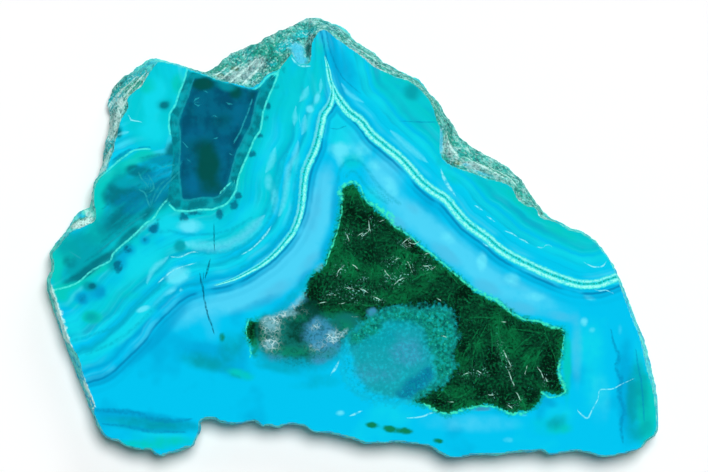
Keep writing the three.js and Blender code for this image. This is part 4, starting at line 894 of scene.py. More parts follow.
def measure(spots: np.ndarray, line: np.ndarray) -> Measured:
    """Measures spots against the nearest stretch of a line.

    Args:
        spots: One row of x, y for each spot, in pixels.
        line: The line's points, with the half width as an optional third number.

    Returns:
        The measures, in pixels.
    """
    count = len(spots)
    nearest = np.full(count, np.inf)
    found = Measured(np.zeros(count), np.zeros(count), np.zeros(count), np.ones(count))
    run = 0.0
    last = len(line) - 2
    for i, (start, end) in enumerate(zip(line, line[1:])):
        way = end[:2] - start[:2]
        length = float(np.hypot(*way))
        offset = spots - start[:2]
        share = offset @ way / length**2
        held = np.clip(share, 0, 1)
        gap = offset - held[:, None] * way
        distance = np.hypot(gap[:, 0], gap[:, 1])
        closer = distance < nearest
        nearest[closer] = distance[closer]
        side = np.where(way[1] * offset[:, 0] - way[0] * offset[:, 1] >= 0, 1.0, -1.0)
        found.across[closer] = (distance * side)[closer]
        found.along[closer] = (run + held * length)[closer]
        over = np.maximum(-share if i == 0 else 0, share - 1 if i == last else 0)
        found.beyond[closer] = (np.maximum(over, 0) * length + np.zeros(count))[closer]
        if line.shape[1] > 2:
            found.half[closer] = (start[2] + held * (end[2] - start[2]))[closer]
        run += length
    return found


def depth_inside(spots: np.ndarray, outline: tuple[tuple[float, float], ...]) -> np.ndarray:
    """Measures how deep spots lie inside a closed outline.

    Args:
        spots: One row of x, y for each spot, in pixels.
        outline: The outline's corners in order.

    Returns:
        The distance from the outline for each spot, in pixels, negative outside it.
    """
    closed = np.array([*outline, outline[0]], float)
    distance = np.abs(measure(spots, closed).across)
    inside = np.zeros(len(spots), bool)
    for start, end in zip(closed, closed[1:]):
        crosses = (start[1] > spots[:, 1]) != (end[1] > spots[:, 1])
        slope = (end[0] - start[0]) / ((end[1] - start[1]) or 1.0)
        inside ^= crosses & (spots[:, 0] < start[0] + (spots[:, 1] - start[1]) * slope)
    return np.where(inside, distance, -distance)


@dataclass
class Markings:
    """The fields that the stone's material paints by, one value or vector for each vertex of the piece.

    The bands lean as they go down through the slice, by so many pixels for each pixel of depth. Lengths are
    in pixels of the view. Spots are measured within the search room round a mark, and kept as far off where
    there is none. A mark's reach and ends fade out, and one side's bands fade into the other's. A wash
    drops from its middle the more sharply, the greater its edge and its fall.
    """

    piece: bpy.types.Object
    leaning: tuple[float, float] = (0.35, -0.5)
    fibres_per_turn: float = 10.0
    fan_shift: float = 17.0
    far: float = 99.0
    search_room: float = 12.0
    thinnest: float = 0.3
    reach_fade: float = 2.0
    end_fade: float = 1.5
    side_fade: float = 4.0
    wash_edge: float = 1.25
    wash_fall: float = 0.7
    spots: np.ndarray = field(init=False)
    height: np.ndarray = field(init=False)

    def __post_init__(self) -> None:
        """Reads the vertices' places as pixels of the view, and their heights over the back."""
        places = places_of(self.piece)
        self.height = (places[:, 2] - places[:, 2].min()) / MM
        depth = (places[:, 2].max() - places[:, 2]) / VIEW.pixel
        self.spots = VIEW.pixels_of(places) + depth[:, None] * np.array(self.leaning)

    def keep(self, name: str, *parts: np.ndarray) -> None:
        """Stores one value or three for each vertex as one vector attribute of the piece.

        Args:
            name: The attribute's name.
            parts: The values, one array for each axis in turn, or one array for all three.
        """
        values = np.zeros((len(self.spots), 3), np.float32)
        for axis in range(3):
            values[:, axis] = parts[axis % len(parts)]
        attribute = self.piece.data.attributes.new(name=name, type="FLOAT_VECTOR", domain="POINT")
        attribute.data.foreach_set("vector", values.ravel())

    def keep_marks(self, marks: Marks) -> None:
        """Stores a group of marks: distance over half width, place along in millimetres, and what shows.

        Args:
            marks: The group.
        """
        best, across = np.full(len(self.spots), self.far), np.full(len(self.spots), self.far)
        along, shows = np.zeros(len(self.spots)), np.zeros(len(self.spots))
        room = marks.reach + self.search_room
        for row in marks.rows:
            line = rounded(row)
            low, high = line[:, :2].min(0) - room, line[:, :2].max(0) + room
            near = np.flatnonzero(((self.spots > low) & (self.spots < high)).all(1))
            found = measure(self.spots[near], line)
            closer = np.abs(found.across) < best[near]
            chosen = near[closer]
            half = found.half[closer] if line.shape[1] > 2 else np.full(len(chosen), marks.half_width)
            best[chosen] = np.abs(found.across[closer])
            across[chosen] = found.across[closer] / np.maximum(half * marks.thin, self.thinnest)
            along[chosen] = found.along[closer] * VIEW.pixel / MM
            reach = marks.reach * np.maximum(half, 1.0) + self.reach_fade - best[chosen]
            end = np.clip(self.end_fade - found.beyond[closer], 0, 1)
            shows[chosen] = np.clip(reach / self.reach_fade, 0, 1) * end
        self.keep(marks.name, across, along, shows)

    def keep_wash(self, wash: Wash) -> None:
        """Stores how strongly a soft colour lies on each vertex.

        Args:
            wash: The colour's group of soft ellipses.
        """
        clear = np.ones(len(self.spots))
        for x, y, half_length, half_height, turn, strength in wash.patches:
            a = math.radians(turn)
            offset = self.spots - (x, y)
            along = (offset[:, 0] * math.cos(a) + offset[:, 1] * math.sin(a)) / half_length
            across = (offset[:, 1] * math.cos(a) - offset[:, 0] * math.sin(a)) / half_height
            out = (along**2 + across**2) ** self.wash_edge
            clear *= 1 - strength * np.exp(-out * self.wash_fall)
        self.keep(wash.name, 1 - clear)

    def keep_bands(self) -> None:
        """Stores the bands' growth: distance from the divide, share of the way in, and side of the vein."""
        mm = VIEW.pixel / MM
        divide = measure(self.spots, rounded(DIVIDE))
        right = measure(self.spots, rounded(PARTING))
        stem = measure(self.spots, rounded(STEM))
        outward = np.where(divide.across > 0, np.minimum(divide.across, np.abs(stem.across)), divide.across)
        outermost = np.abs(measure(self.spots, rounded(OUTERMOST)).across)
        share = outermost / np.maximum(outermost + np.abs(outward), TINY)
        self.keep("bands", outward * mm, share, np.clip(right.across / self.side_fade + 0.5, 0, 1))

    def keep_patches(self) -> None:
        """Stores how deep each vertex lies in the closed patches and how high it is, in millimetres."""
        mm = VIEW.pixel / MM
        deep = {
            name: depth_inside(self.spots, outline) * mm
            for name, outline in (
                ("malachite", MALACHITE_EDGE), ("mottled", MOTTLED_EDGE), ("lace", LACE_EDGE),
                ("knot", GREEN_KNOT_EDGE), ("pocket", POCKET_OUTER), ("pocket_core", POCKET_INNER),
            )
        }
        self.keep("heart", np.maximum(deep["malachite"], deep["knot"]), deep["mottled"], deep["lace"])
        self.keep("pocket", deep["pocket"], deep["pocket_core"], self.height)

    def keep_fibres(self) -> None:
        """Stores the direction from the nearest fan of malachite fibres, so that they run out from it."""
        centres = np.array(FIBRE_FANS, float)
        offsets = self.spots[:, None, :] - centres[None, :, :]
        distances = np.hypot(offsets[..., 0], offsets[..., 1])
        fan = distances.argmin(1)
        offset = offsets[np.arange(len(fan)), fan]
        turn = np.abs(np.arctan2(offset[:, 1], offset[:, 0]))
        self.keep("fibres", turn * self.fibres_per_turn + fan * self.fan_shift)

    def keep_all(self) -> None:
        """Stores every field."""
        self.keep_bands()
        self.keep_patches()
        self.keep_fibres()
        for marks in MARKS:
            self.keep_marks(marks)
        for wash in WASHES:
            self.keep_wash(wash)


Socket = bpy.types.NodeSocket
# Sockets of a node that mixes two colours.
MIX_UNDER, MIX_OVER, MIX_OUT = 6, 7, 2
# How far a random variation is stretched to swing a field by its reach, or a wash by its raggedness.
WAVER_SPREAD, WASH_SPREAD = 4.0, 8.0
# The strengths at which a wash begins and is whole.
WASH_CLEAR, WASH_FULL = 0.12, 0.8
# The size of a mark's swings in millimetres, and its wear as the four numbers of a patchy share.
SWING_SIZE = 0.6
WEAR = (0.5, 3, 0.36, 0.58)


class Sheet:
    """A material's node tree, and the colour laid on it so far."""

    def __init__(self, name: str) -> None:
        """Starts an empty material.

        Args:
            name: The material's name.
        """
        self.material = bpy.data.materials.new(name)
        self.material.use_nodes = True
        self.tree = self.material.node_tree
        self.tree.nodes.clear()
        self.place = self.add("ShaderNodeTexCoord").outputs["Object"]
        self.readings: dict[str, bpy.types.Node] = {}
        self.variations: dict[tuple[float, float], Socket] = {}
        self.colour: Socket | None = None

    def add(
        self, kind: str, inputs: dict | None = None, stops: tuple = (), **settings: str
    ) -> bpy.types.Node:
        """Adds a node with its settings and links.

        Args:
            kind: The node's type.
            inputs: What goes into each input, by its name or number: a socket to link, or a value.
            stops: For a colour ramp, its stops as position, hue and alpha.
            settings: The node's own settings.

        Returns:
            The node.
        """
        node = self.tree.nodes.new(kind)
        for name, value in settings.items():
            setattr(node, name, value)
        for key, value in (inputs or {}).items():
            if isinstance(value, Socket):
                self.tree.links.new(value, node.inputs[key])
            else:
                node.inputs[key].default_value = value
        if stops:
            first, last = node.color_ramp.elements
            for stop, (position, hue, alpha) in ((first, stops[0]), (last, stops[-1])):
                stop.position = position
                stop.color = (*linear(hue)[:3], alpha)
            for position, hue, alpha in stops[1:-1]:
                node.color_ramp.elements.new(position).color = (*linear(hue)[:3], alpha)
        return node

    def read(self, name: str, axis: str = "") -> Socket:
        """Reads one of the stored fields, which is taken apart only where its three values differ.

        Args:
            name: The attribute's name.
            axis: Which of its three values, where they differ.

        Returns:
            The value's socket.
        """
        if name not in self.readings:
            attribute = self.add("ShaderNodeAttribute", attribute_name=name)
            if axis:
                self.readings[name] = self.add("ShaderNodeSeparateXYZ", {0: attribute.outputs["Vector"]})
            else:
                self.readings[name] = attribute
        return self.readings[name].outputs[axis or "Fac"]

    def product(self, *factors: Socket | float) -> Socket | float:
        """Multiplies shares, of which the plain numbers are joined beforehand.

        Args:
            factors: The shares.

        Returns:
            Their product, as a number where all of them are numbers.
        """
        sockets = [factor for factor in factors if isinstance(factor, Socket)]
        result = math.prod((factor for factor in factors if not isinstance(factor, Socket)), start=1.0)
        if sockets and result == 1.0:
            result = sockets.pop(0)
        for socket in sockets:
            result = self.add("ShaderNodeMath", {0: socket, 1: result}, operation="MULTIPLY").outputs[0]
        return result

    def share(self, field_value: Socket, clear: float, full: float, *limits: Socket | float) -> Socket:
        """Turns a field to a share that rises smoothly.

        Args:
            field_value: The field.
            clear: The field's value where the share is nothing.
            full: The field's value where the share is whole.
            limits: What the whole share is multiplied by.

        Returns:
            The share.
        """
        most = self.product(*limits)
        inputs = {"Value": field_value, "From Min": clear, "From Max": full, "To Max": most}
        return self.add("ShaderNodeMapRange", inputs, interpolation_type="SMOOTHSTEP").outputs[0]

    def variation(self, size: float, detail: float = 2.0) -> Socket:
        """Gives soft random variation through the stone, made once for each size.

        Args:
            size: The size of its features in millimetres.
            detail: How many finer layers it has.

        Returns:
            The variation, about 0.5 on average.
        """
        if (size, detail) not in self.variations:
            inputs = {"Vector": self.place, "Scale": 1 / (size * MM), "Detail": detail}
            self.variations[size, detail] = self.add("ShaderNodeTexNoise", inputs).outputs["Fac"]
        return self.variations[size, detail]

    def patchy(
        self, size: float, detail: float, clear: float, full: float, *limits: Socket | float
    ) -> Socket:
        """Gives a share that comes and goes at random through the stone.

        Args:
            size: The size of its features in millimetres.
            detail: How many finer layers it has.
            clear: The variation's value where the share is nothing.
            full: The variation's value where the share is whole.
            limits: What the whole share is multiplied by.

        Returns:
            The share.
        """
        return self.share(self.variation(size, detail), clear, full, *limits)

    def variation_along(self, run: Socket, size: float, shift: float = 0.0) -> Socket:
        """Gives random variation that follows one field, such as the distance from a line.

        Args:
            run: The field, in millimetres.
            size: The size of its features in millimetres.
            shift: Where it starts, to tell it from others.

        Returns:
            The variation.
        """
        steps = {0: run, 1: 1 / size, 2: shift}
        at = self.add("ShaderNodeMath", steps, operation="MULTIPLY_ADD").outputs[0]
        inputs = {"W": at, "Scale": 1.0, "Detail": 2.0}
        return self.add("ShaderNodeTexNoise", inputs, noise_dimensions="1D").outputs["Fac"]

    def grains(self, size: float) -> tuple[Socket, Socket]:
        """Gives packed grains.

        Args:
            size: Their size in millimetres.

        Returns:
            The distance from each grain's middle, and a random value for each grain.
        """
        cells = self.add("ShaderNodeTexVoronoi", {"Vector": self.place, "Scale": 1 / (size * MM)})
        shade = self.add("ShaderNodeSeparateColor", {0: cells.outputs["Color"]}).outputs[0]
        return cells.outputs["Distance"], shade

    def waver(self, value: Socket, size: float, reach: float) -> Socket:
        """Makes a field's contours waver, as in grown stone.

        Args:
            value: The field.
            size: How long each waver is, in millimetres.
            reach: How far it goes to each side, in the field's own units.

        Returns:
            The wavering field.
        """
        spread = WAVER_SPREAD * reach
        random = {0: self.variation(size), 1: spread, 2: -spread / 2}
        swing = self.add("ShaderNodeMath", random, operation="MULTIPLY_ADD").outputs[0]
        return self.add("ShaderNodeMath", {0: value, 1: swing}, operation="ADD").outputs[0]

    def distance(self, value: Socket, middle: float) -> Socket:
        """Gives how far a field is from a value, to either side.

        Args:
            value: The field.
            middle: The value.

        Returns:
            The distance.
        """
        gap = self.add("ShaderNodeMath", {0: value, 1: middle}, operation="SUBTRACT").outputs[0]
        return self.add("ShaderNodeMath", {0: gap}, operation="ABSOLUTE").outputs[0]

    def lay(self, hue: Hue | Socket, share: Socket | float) -> None:
        """Lays a colour over those laid before.

        Args:
            hue: The colour, or a socket that gives it.
            share: How much of it covers what is below.
        """
        over = linear(hue) if isinstance(hue, Hue) else hue
        under = self.colour if self.colour is not None else over
        inputs = {0: share, MIX_UNDER: under, MIX_OVER: over}
        self.colour = self.add("ShaderNodeMix", inputs, data_type="RGBA").outputs[MIX_OUT]

    def lay_wash(self, wash: Wash, *limits: Socket | float) -> None:
        """Lays a group of soft patches, with ragged edges.

        Args:
            wash: The group.
            limits: What their strength is multiplied by.
        """
        spread = WASH_SPREAD * wash.rag
        random = {0: self.variation(wash.grain), 1: spread, 2: 1 - spread / 2}
        swing = self.add("ShaderNodeMath", random, operation="MULTIPLY_ADD").outputs[0]
        strength = self.product(self.read(wash.name), swing)
        self.lay(wash.hue, self.share(strength, WASH_CLEAR, WASH_FULL, wash.most, *limits))

    def lay_marks(self, marks: Marks) -> None:
        """Lays a group of marks, broken up by as much as they are worn.

        Args:
            marks: The group.
        """
        distance = self.distance(self.waver(self.read(marks.name, "X"), SWING_SIZE, marks.swing), 0.0)
        random = {0: self.patchy(*WEAR), 1: marks.worn * marks.most, 2: (1 - marks.worn) * marks.most}
        whole = self.add("ShaderNodeMath", random, operation="MULTIPLY_ADD").outputs[0]
        shows = self.read(marks.name, "Z")
        self.lay(marks.hue, self.share(distance, 1 + marks.soft, 1 - marks.soft, shows, whole))


@dataclass(frozen=True)
class BandedChrysocolla:
    """Chrysocolla grown in bands with malachite, sawn and polished on one face.

    It is a hydrous copper silicate set hard with silica, so it takes a glassy polish: smooth, even and
    saturated, with crisp mint lines where the growth paused. The rind is dull and granular, and the sawn
    back is matte.

    In the methods, sizes are in millimetres, and shares and covers go from 0 to 1. The four numbers that a
    patchy share begins with are its size, its detail, and the variation where it starts and is whole.
    """

    thickness: float
    polished_roughness: float = 0.16
    rind_roughness: float = 0.85
    refraction: float = 1.55
    rind_grain: float = 0.27
    rind_relief: float = 0.14 * MM
    fibre_length: float = 1.1 * MM
    lace_swirl: float = 2.0 * MM
    evenness: float = 0.45
    left_cover: float = 0.8
    right_cover: float = 0.9
    right_outer_line: float = 0.85
    left_outer_line: float = 0.45
    face_fade: tuple[float, float] = (0.1, 0.02)

    def material(self) -> bpy.types.Material:
        """Builds the stone's material.

        Returns:
            The finished material.
        """
        sheet = Sheet("banded_chrysocolla_polished_and_sawn")
        self._ground(sheet)
        for wash in BODY_WASHES:
            sheet.lay_wash(wash)
        self._divide(sheet)
        self._pocket(sheet)
        for marks in (LOBE_DARK, LOBE_LIGHT, *LINES):
            sheet.lay_marks(marks)
        self._vein(sheet, VEIN_RIGHT, self.right_outer_line)
        self._vein(sheet, VEIN_LEFT_SIDE, self.left_outer_line)
        self._heart(sheet)
        self._surface(sheet, *self._rind(sheet))
        return sheet.material

    def _ground(self, sheet: Sheet) -> None:
        """Lays the even blue ground and the growth bands on both sides of the double vein.

        Args:
            sheet: The material, with nothing laid yet.
        """
        ground = sheet.add("ShaderNodeValToRGB", {0: sheet.variation(9.0, 3)}, GROUND_STOPS)
        sheet.lay(ground.outputs["Color"], 1.0)
        sheet.lay(Hue.CYAN, self.evenness)
        outward = sheet.waver(sheet.read("bands", "X"), 2.4, 0.18)
        outside = sheet.share(outward, -0.1, 0.1)
        grown = sheet.waver(sheet.read("bands", "Y"), 3.0, 0.03)
        bands = sheet.add("ShaderNodeValToRGB", {0: grown}, LEFT_STOPS).outputs["Color"]
        sheet.lay(bands, sheet.product(outside, self.left_cover))
        grown = sheet.product(outward, 1 / RIGHT_BANDS_WIDTH)
        bands = sheet.add("ShaderNodeValToRGB", {0: grown}, RIGHT_STOPS).outputs["Color"]
        sheet.lay(bands, sheet.product(outside, sheet.read("bands", "Z"), self.right_cover))
        for hue, spacing, shift, most in GROWTH_LAYERS:
            patchy = sheet.patchy(4.0 + shift / 10, 1, 0.36, 0.6, most)
            layer = sheet.share(sheet.variation_along(outward, spacing, shift), 0.5, 0.72, patchy)
            sheet.lay(hue, sheet.product(outside, layer))

    def _divide(self, sheet: Sheet) -> None:
        """Lays the deep blue line just inside the double vein, and its fainter followers.

        Args:
            sheet: The material so far.
        """
        inward = sheet.waver(sheet.read("bands", "X"), 1.0, 0.05)
        for hue, middle, half, most in DIVIDE_LINES:
            patchy = sheet.patchy(3.0, 1, 0.2, 0.5, most)
            sheet.lay(hue, sheet.share(sheet.distance(inward, middle), half * 1.5, half * 0.3, patchy))

    def _pocket(self, sheet: Sheet) -> None:
        """Lays the dark blue-green pocket with its two-lined border.

        Args:
            sheet: The material so far.
        """
        deep = sheet.waver(sheet.read("pocket", "X"), 0.9, 0.1)
        core = sheet.waver(sheet.read("pocket", "Y"), 0.9, 0.1)
        sheet.lay(Hue.TEAL, sheet.share(deep, 0.0, 0.25, 0.85))
        sheet.lay(Hue.DEEP_TEAL, sheet.patchy(1.3, 4, 0.34, 0.62, sheet.share(deep, 0.0, 0.3, 0.85)))
        sheet.lay(Hue.INK_BLUE, sheet.share(core, -0.1, 0.25, 0.95))
        sheet.lay(Hue.INK, sheet.patchy(2.6, 3, 0.42, 0.62, sheet.share(core, 0.1, 0.6, 0.8)))
        for wash in POCKET_WASHES:
            sheet.lay_wash(wash, sheet.share(deep, 0.0, 0.4))

    def _vein(self, sheet: Sheet, vein: Marks, outer: float) -> None:
        """Lays one limb of the double mint vein: two bright lines with a dotted green thread between them.

        Args:
            sheet: The material so far.
            vein: Which limb.
            outer: How strong its outer line is.
        """
        across = sheet.waver(sheet.waver(sheet.read(vein.name, "X"), 0.8, 0.07), 0.3, 0.1)
        # The vein's middle is at 0.5 of the profile below, and each half width takes 0.25 of it.
        steps = {0: across, 1: 0.25, 2: 0.5}
        place = sheet.add("ShaderNodeMath", steps, operation="MULTIPLY_ADD").outputs[0]
        profile = sheet.add("ShaderNodeValToRGB", {0: place}, (
            (0.22, Hue.AQUA, 0.0), (0.26, Hue.AQUA, 0.6), (0.295, Hue.MINT, 1.0),
            (0.355, Hue.MINT_WHITE, 1.0), (0.41, Hue.MINT_WHITE, 1.0), (0.465, Hue.MINT, 1.0),
            (0.49, Hue.TURQUOISE, 1.0), (0.56, Hue.TURQUOISE, 1.0), (0.59, Hue.MINT, outer),
            (0.635, Hue.MINT_WHITE, outer), (0.665, Hue.MINT_WHITE, outer), (0.71, Hue.MINT, outer),
            (0.77, Hue.AQUA, 0.0),
        ))
        shows = sheet.read(vein.name, "Z")
        painted = sheet.product(profile.outputs["Alpha"], shows)
        sheet.lay(profile.outputs["Color"], painted)
        width = sheet.share(sheet.distance(across, 0.0), 1.0, 0.8, 0.7)
        sheet.lay(Hue.AQUA, sheet.patchy(0.35, 2, 0.5, 0.66, width, shows))
        sheet.lay(Hue.MINT, sheet.patchy(0.26, 2, 0.5, 0.66, painted, 0.7))
        beads = sheet.share(sheet.variation_along(sheet.read(vein.name, "Y"), 0.24), 0.42, 0.56, shows, 0.7)
        sheet.lay(Hue.THREAD, sheet.share(sheet.distance(across, 0.14), 0.2, 0.08, beads))

    def _heart(self, sheet: Sheet) -> None:
        """Lays the malachite with its bright rim, the mottled patch beside it, and the lace at its foot.

        Args:
            sheet: The material so far.
        """
        edge = sheet.waver(sheet.waver(sheet.read("heart", "X"), 0.9, 0.2), 0.3, 0.3)
        sheet.lay(Hue.HALO, sheet.share(edge, -0.75, -0.1, 0.7))
        self._malachite(sheet, edge)
        sheet.lay_marks(FIBRES)
        self._lace(sheet)
        self._mottled(sheet)
        sheet.lay_marks(RIM)
        sheet.lay_marks(NEEDLES)

    def _malachite(self, sheet: Sheet, edge: Socket) -> None:
        """Lays the dark green fibres, from nearly black to emerald, with flecks and some leaf-green spots.

        Args:
            sheet: The material so far.
            edge: How deep inside the malachite's outline a point is.
        """
        within = sheet.share(edge, -0.18, 0.16)
        sheet.lay(Hue.MALACHITE, within)
        sheet.lay(Hue.EMERALD, sheet.share(edge, 0.75, 0.1, within, 0.6))
        for wash in MALACHITE_WASHES:
            sheet.lay_wash(wash, within)
        fibre = sheet.add("ShaderNodeTexNoise", {
            "Vector": sheet.place, "W": sheet.product(sheet.read("fibres"), self.fibre_length),
            "Scale": 1 / self.fibre_length, "Detail": 3.0,
        }, noise_dimensions="4D").outputs["Fac"]
        patchy = sheet.patchy(1.6, 3, 0.34, 0.62)
        sheet.lay(Hue.MALACHITE_BLACK, sheet.share(fibre, 0.47, 0.3, within, 0.8))
        sheet.lay(Hue.FIBRE_LIGHT, sheet.share(fibre, 0.53, 0.68, patchy, within, 0.5))
        sheet.lay(Hue.EMERALD, sheet.patchy(0.36, 3, 0.52, 0.68, within, 0.55))
        sheet.lay(Hue.MALACHITE_BLACK, sheet.patchy(0.36, 3, 0.48, 0.34, within, 0.65))
        sheet.lay(Hue.MINT, sheet.patchy(0.28, 1, 0.72, 0.8, patchy, within, 0.3))
        sheet.lay(Hue.MINT_WHITE, sheet.patchy(0.2, 1, 0.6, 0.74, sheet.read(FLECKS.name), within, 0.7))
        sheet.lay_wash(LEAF_SPOTS)

    def _lace(self, sheet: Sheet) -> None:
        """Lays the pale, curly lace: bluish grey and teal over dark green.

        Args:
            sheet: The material so far.
        """
        within = sheet.share(sheet.waver(sheet.read("heart", "Z"), 1.1, 0.35), -0.6, 0.7)
        for wash in HEART_WASHES:
            sheet.lay_wash(wash)
        sheet.lay(Hue.LACE_DARK, sheet.patchy(0.4, 4, 0.5, 0.36, within, 0.42))
        for size, hue, half, most in (
            (0.36, Hue.LACE_TEAL, 0.14, 0.4), (0.62, Hue.LACE_WHITE, 0.13, sheet.read("lilac")),
        ):
            strand = sheet.add("ShaderNodeTexVoronoi", {
                "Vector": sheet.place, "W": sheet.product(sheet.variation(0.7), self.lace_swirl),
                "Scale": 1 / (size * MM),
            }, feature="DISTANCE_TO_EDGE", voronoi_dimensions="4D").outputs["Distance"]
            patchy = sheet.patchy(1.2, 2, 0.4, 0.56, within, most)
            sheet.lay(hue, sheet.share(strand, half, half / 4, patchy))

    def _mottled(self, sheet: Sheet) -> None:
        """Lays the teal patch, beaded with small bright grains.

        Args:
            sheet: The material so far.
        """
        mottled = sheet.waver(sheet.waver(sheet.read("heart", "Y"), 1.1, 0.35), 0.42, 0.55)
        within = sheet.share(mottled, -0.9, 0.6)
        sheet.lay(Hue.MOTTLE_TEAL, within)
        for wash in MOTTLE_WASHES:
            sheet.lay_wash(wash, within)
        sheet.lay(Hue.AQUA, sheet.patchy(0.42, 2, 0.5, 0.68, within, 0.28))
        sheet.lay(Hue.TEAL, sheet.patchy(0.42, 2, 0.48, 0.34, within, 0.5))
        bead, shade = sheet.grains(0.42)
        green = sheet.product(within, sheet.read("mottle_green"))
        sheet.lay(Hue.LACE_DARK, sheet.patchy(0.42, 2, 0.5, 0.36, green, 0.75))
        sheet.lay(Hue.RIM_GREEN, sheet.share(bead, 0.42, 0.1, sheet.share(shade, 0.45, 1.0, green, 0.5)))

    def _rind(self, sheet: Sheet) -> tuple[Socket, Socket]:
        """Lays the granular rind wherever the stone is neither polished nor sawn.

        Args:
            sheet: The material so far.

        Returns:
            How polished and how rough the surface is, from 0 to 1 each.
        """
        height = sheet.read("pocket", "Z")
        far, near = self.face_fade
        polish = sheet.share(height, self.thickness / MM - far, self.thickness / MM - near)
        unpolished = sheet.add("ShaderNodeMath", {0: 1.0, 1: polish}, operation="SUBTRACT").outputs[0]
        sawn = sheet.share(height, far, near)
        rough = sheet.add("ShaderNodeMath", {0: unpolished, 1: sawn}, operation="SUBTRACT").outputs[0]
        _, shade = sheet.grains(self.rind_grain)
        # Turquoise rind colour, partly painted light: it is brighter than the rind itself so that the steep
        # rim walls, which face away from the key light, still look lit.
        sheet.lay(Hue.RIM_TURQUOISE, sheet.patchy(1.3, 4, 0.34, 0.6, rough, 0.8))
        sheet.lay(Hue.TEAL, sheet.patchy(0.6, 4, 0.46, 0.34, rough, 0.7))
        crust = sheet.product(rough, sheet.share(sheet.read(CRUST.name), 0.25, 0.55))
        base = sheet.add("ShaderNodeValToRGB", {0: sheet.variation(1.0, 4)}, RIND_STOPS).outputs["Color"]
        sheet.lay(base, sheet.product(crust, 0.75))
        for wash in RIND_WASHES:
            sheet.lay_wash(wash, crust)
        sheet.lay(Hue.RIND_DARK, sheet.share(shade, 0.62, 0.95, crust, 0.5))
        sheet.lay(Hue.RIND_PALE, sheet.share(shade, 0.3, 0.05, crust, 0.5))
        sheet.lay(Hue.RIND_DARK, sheet.patchy(0.3, 2, 0.44, 0.34, crust, 0.6))
        sheet.lay_wash(SKY_SCOOP, rough)
        # The streaks end at the polished face, where the colour from before them is laid again.
        before = sheet.colour
        sheet.lay_marks(RIND_STREAKS)
        sheet.lay(before, polish)
        # Painted light: the near-white flank is laid after the polish, so that it also covers the face's
        # outer edge, where the steep wall beside it lies in shade.
        sheet.lay_marks(WHITE_FLANK_WITH_PAINTED_LIGHT)
        return polish, rough

    def _surface(self, sheet: Sheet, polish: Socket, rough: Socket) -> None:
        """Gives the stone its gloss and the rind its grain.

        Args:
            sheet: The material with all its colours laid.
            polish: How polished the surface is.
            rough: How rough it is.
        """
        gloss = {0: polish, 1: self.polished_roughness - self.rind_roughness, 2: self.rind_roughness}
        dull = sheet.add("ShaderNodeMath", gloss, operation="MULTIPLY_ADD").outputs[0]
        grain, _ = sheet.grains(self.rind_grain)
        heights = {0: sheet.variation(0.38, 3), 1: grain}
        relief = sheet.add("ShaderNodeMath", heights, operation="SUBTRACT").outputs[0]
        bump = sheet.add("ShaderNodeBump", {
            "Height": relief, "Strength": rough, "Distance": self.rind_relief,
        })
        shader = sheet.add("ShaderNodeBsdfPrincipled", {
            "Base Color": sheet.colour, "Roughness": dull, "IOR": self.refraction,
            "Normal": bump.outputs[0],
        })
        sheet.add("ShaderNodeOutputMaterial", {0: shader.outputs[0]})


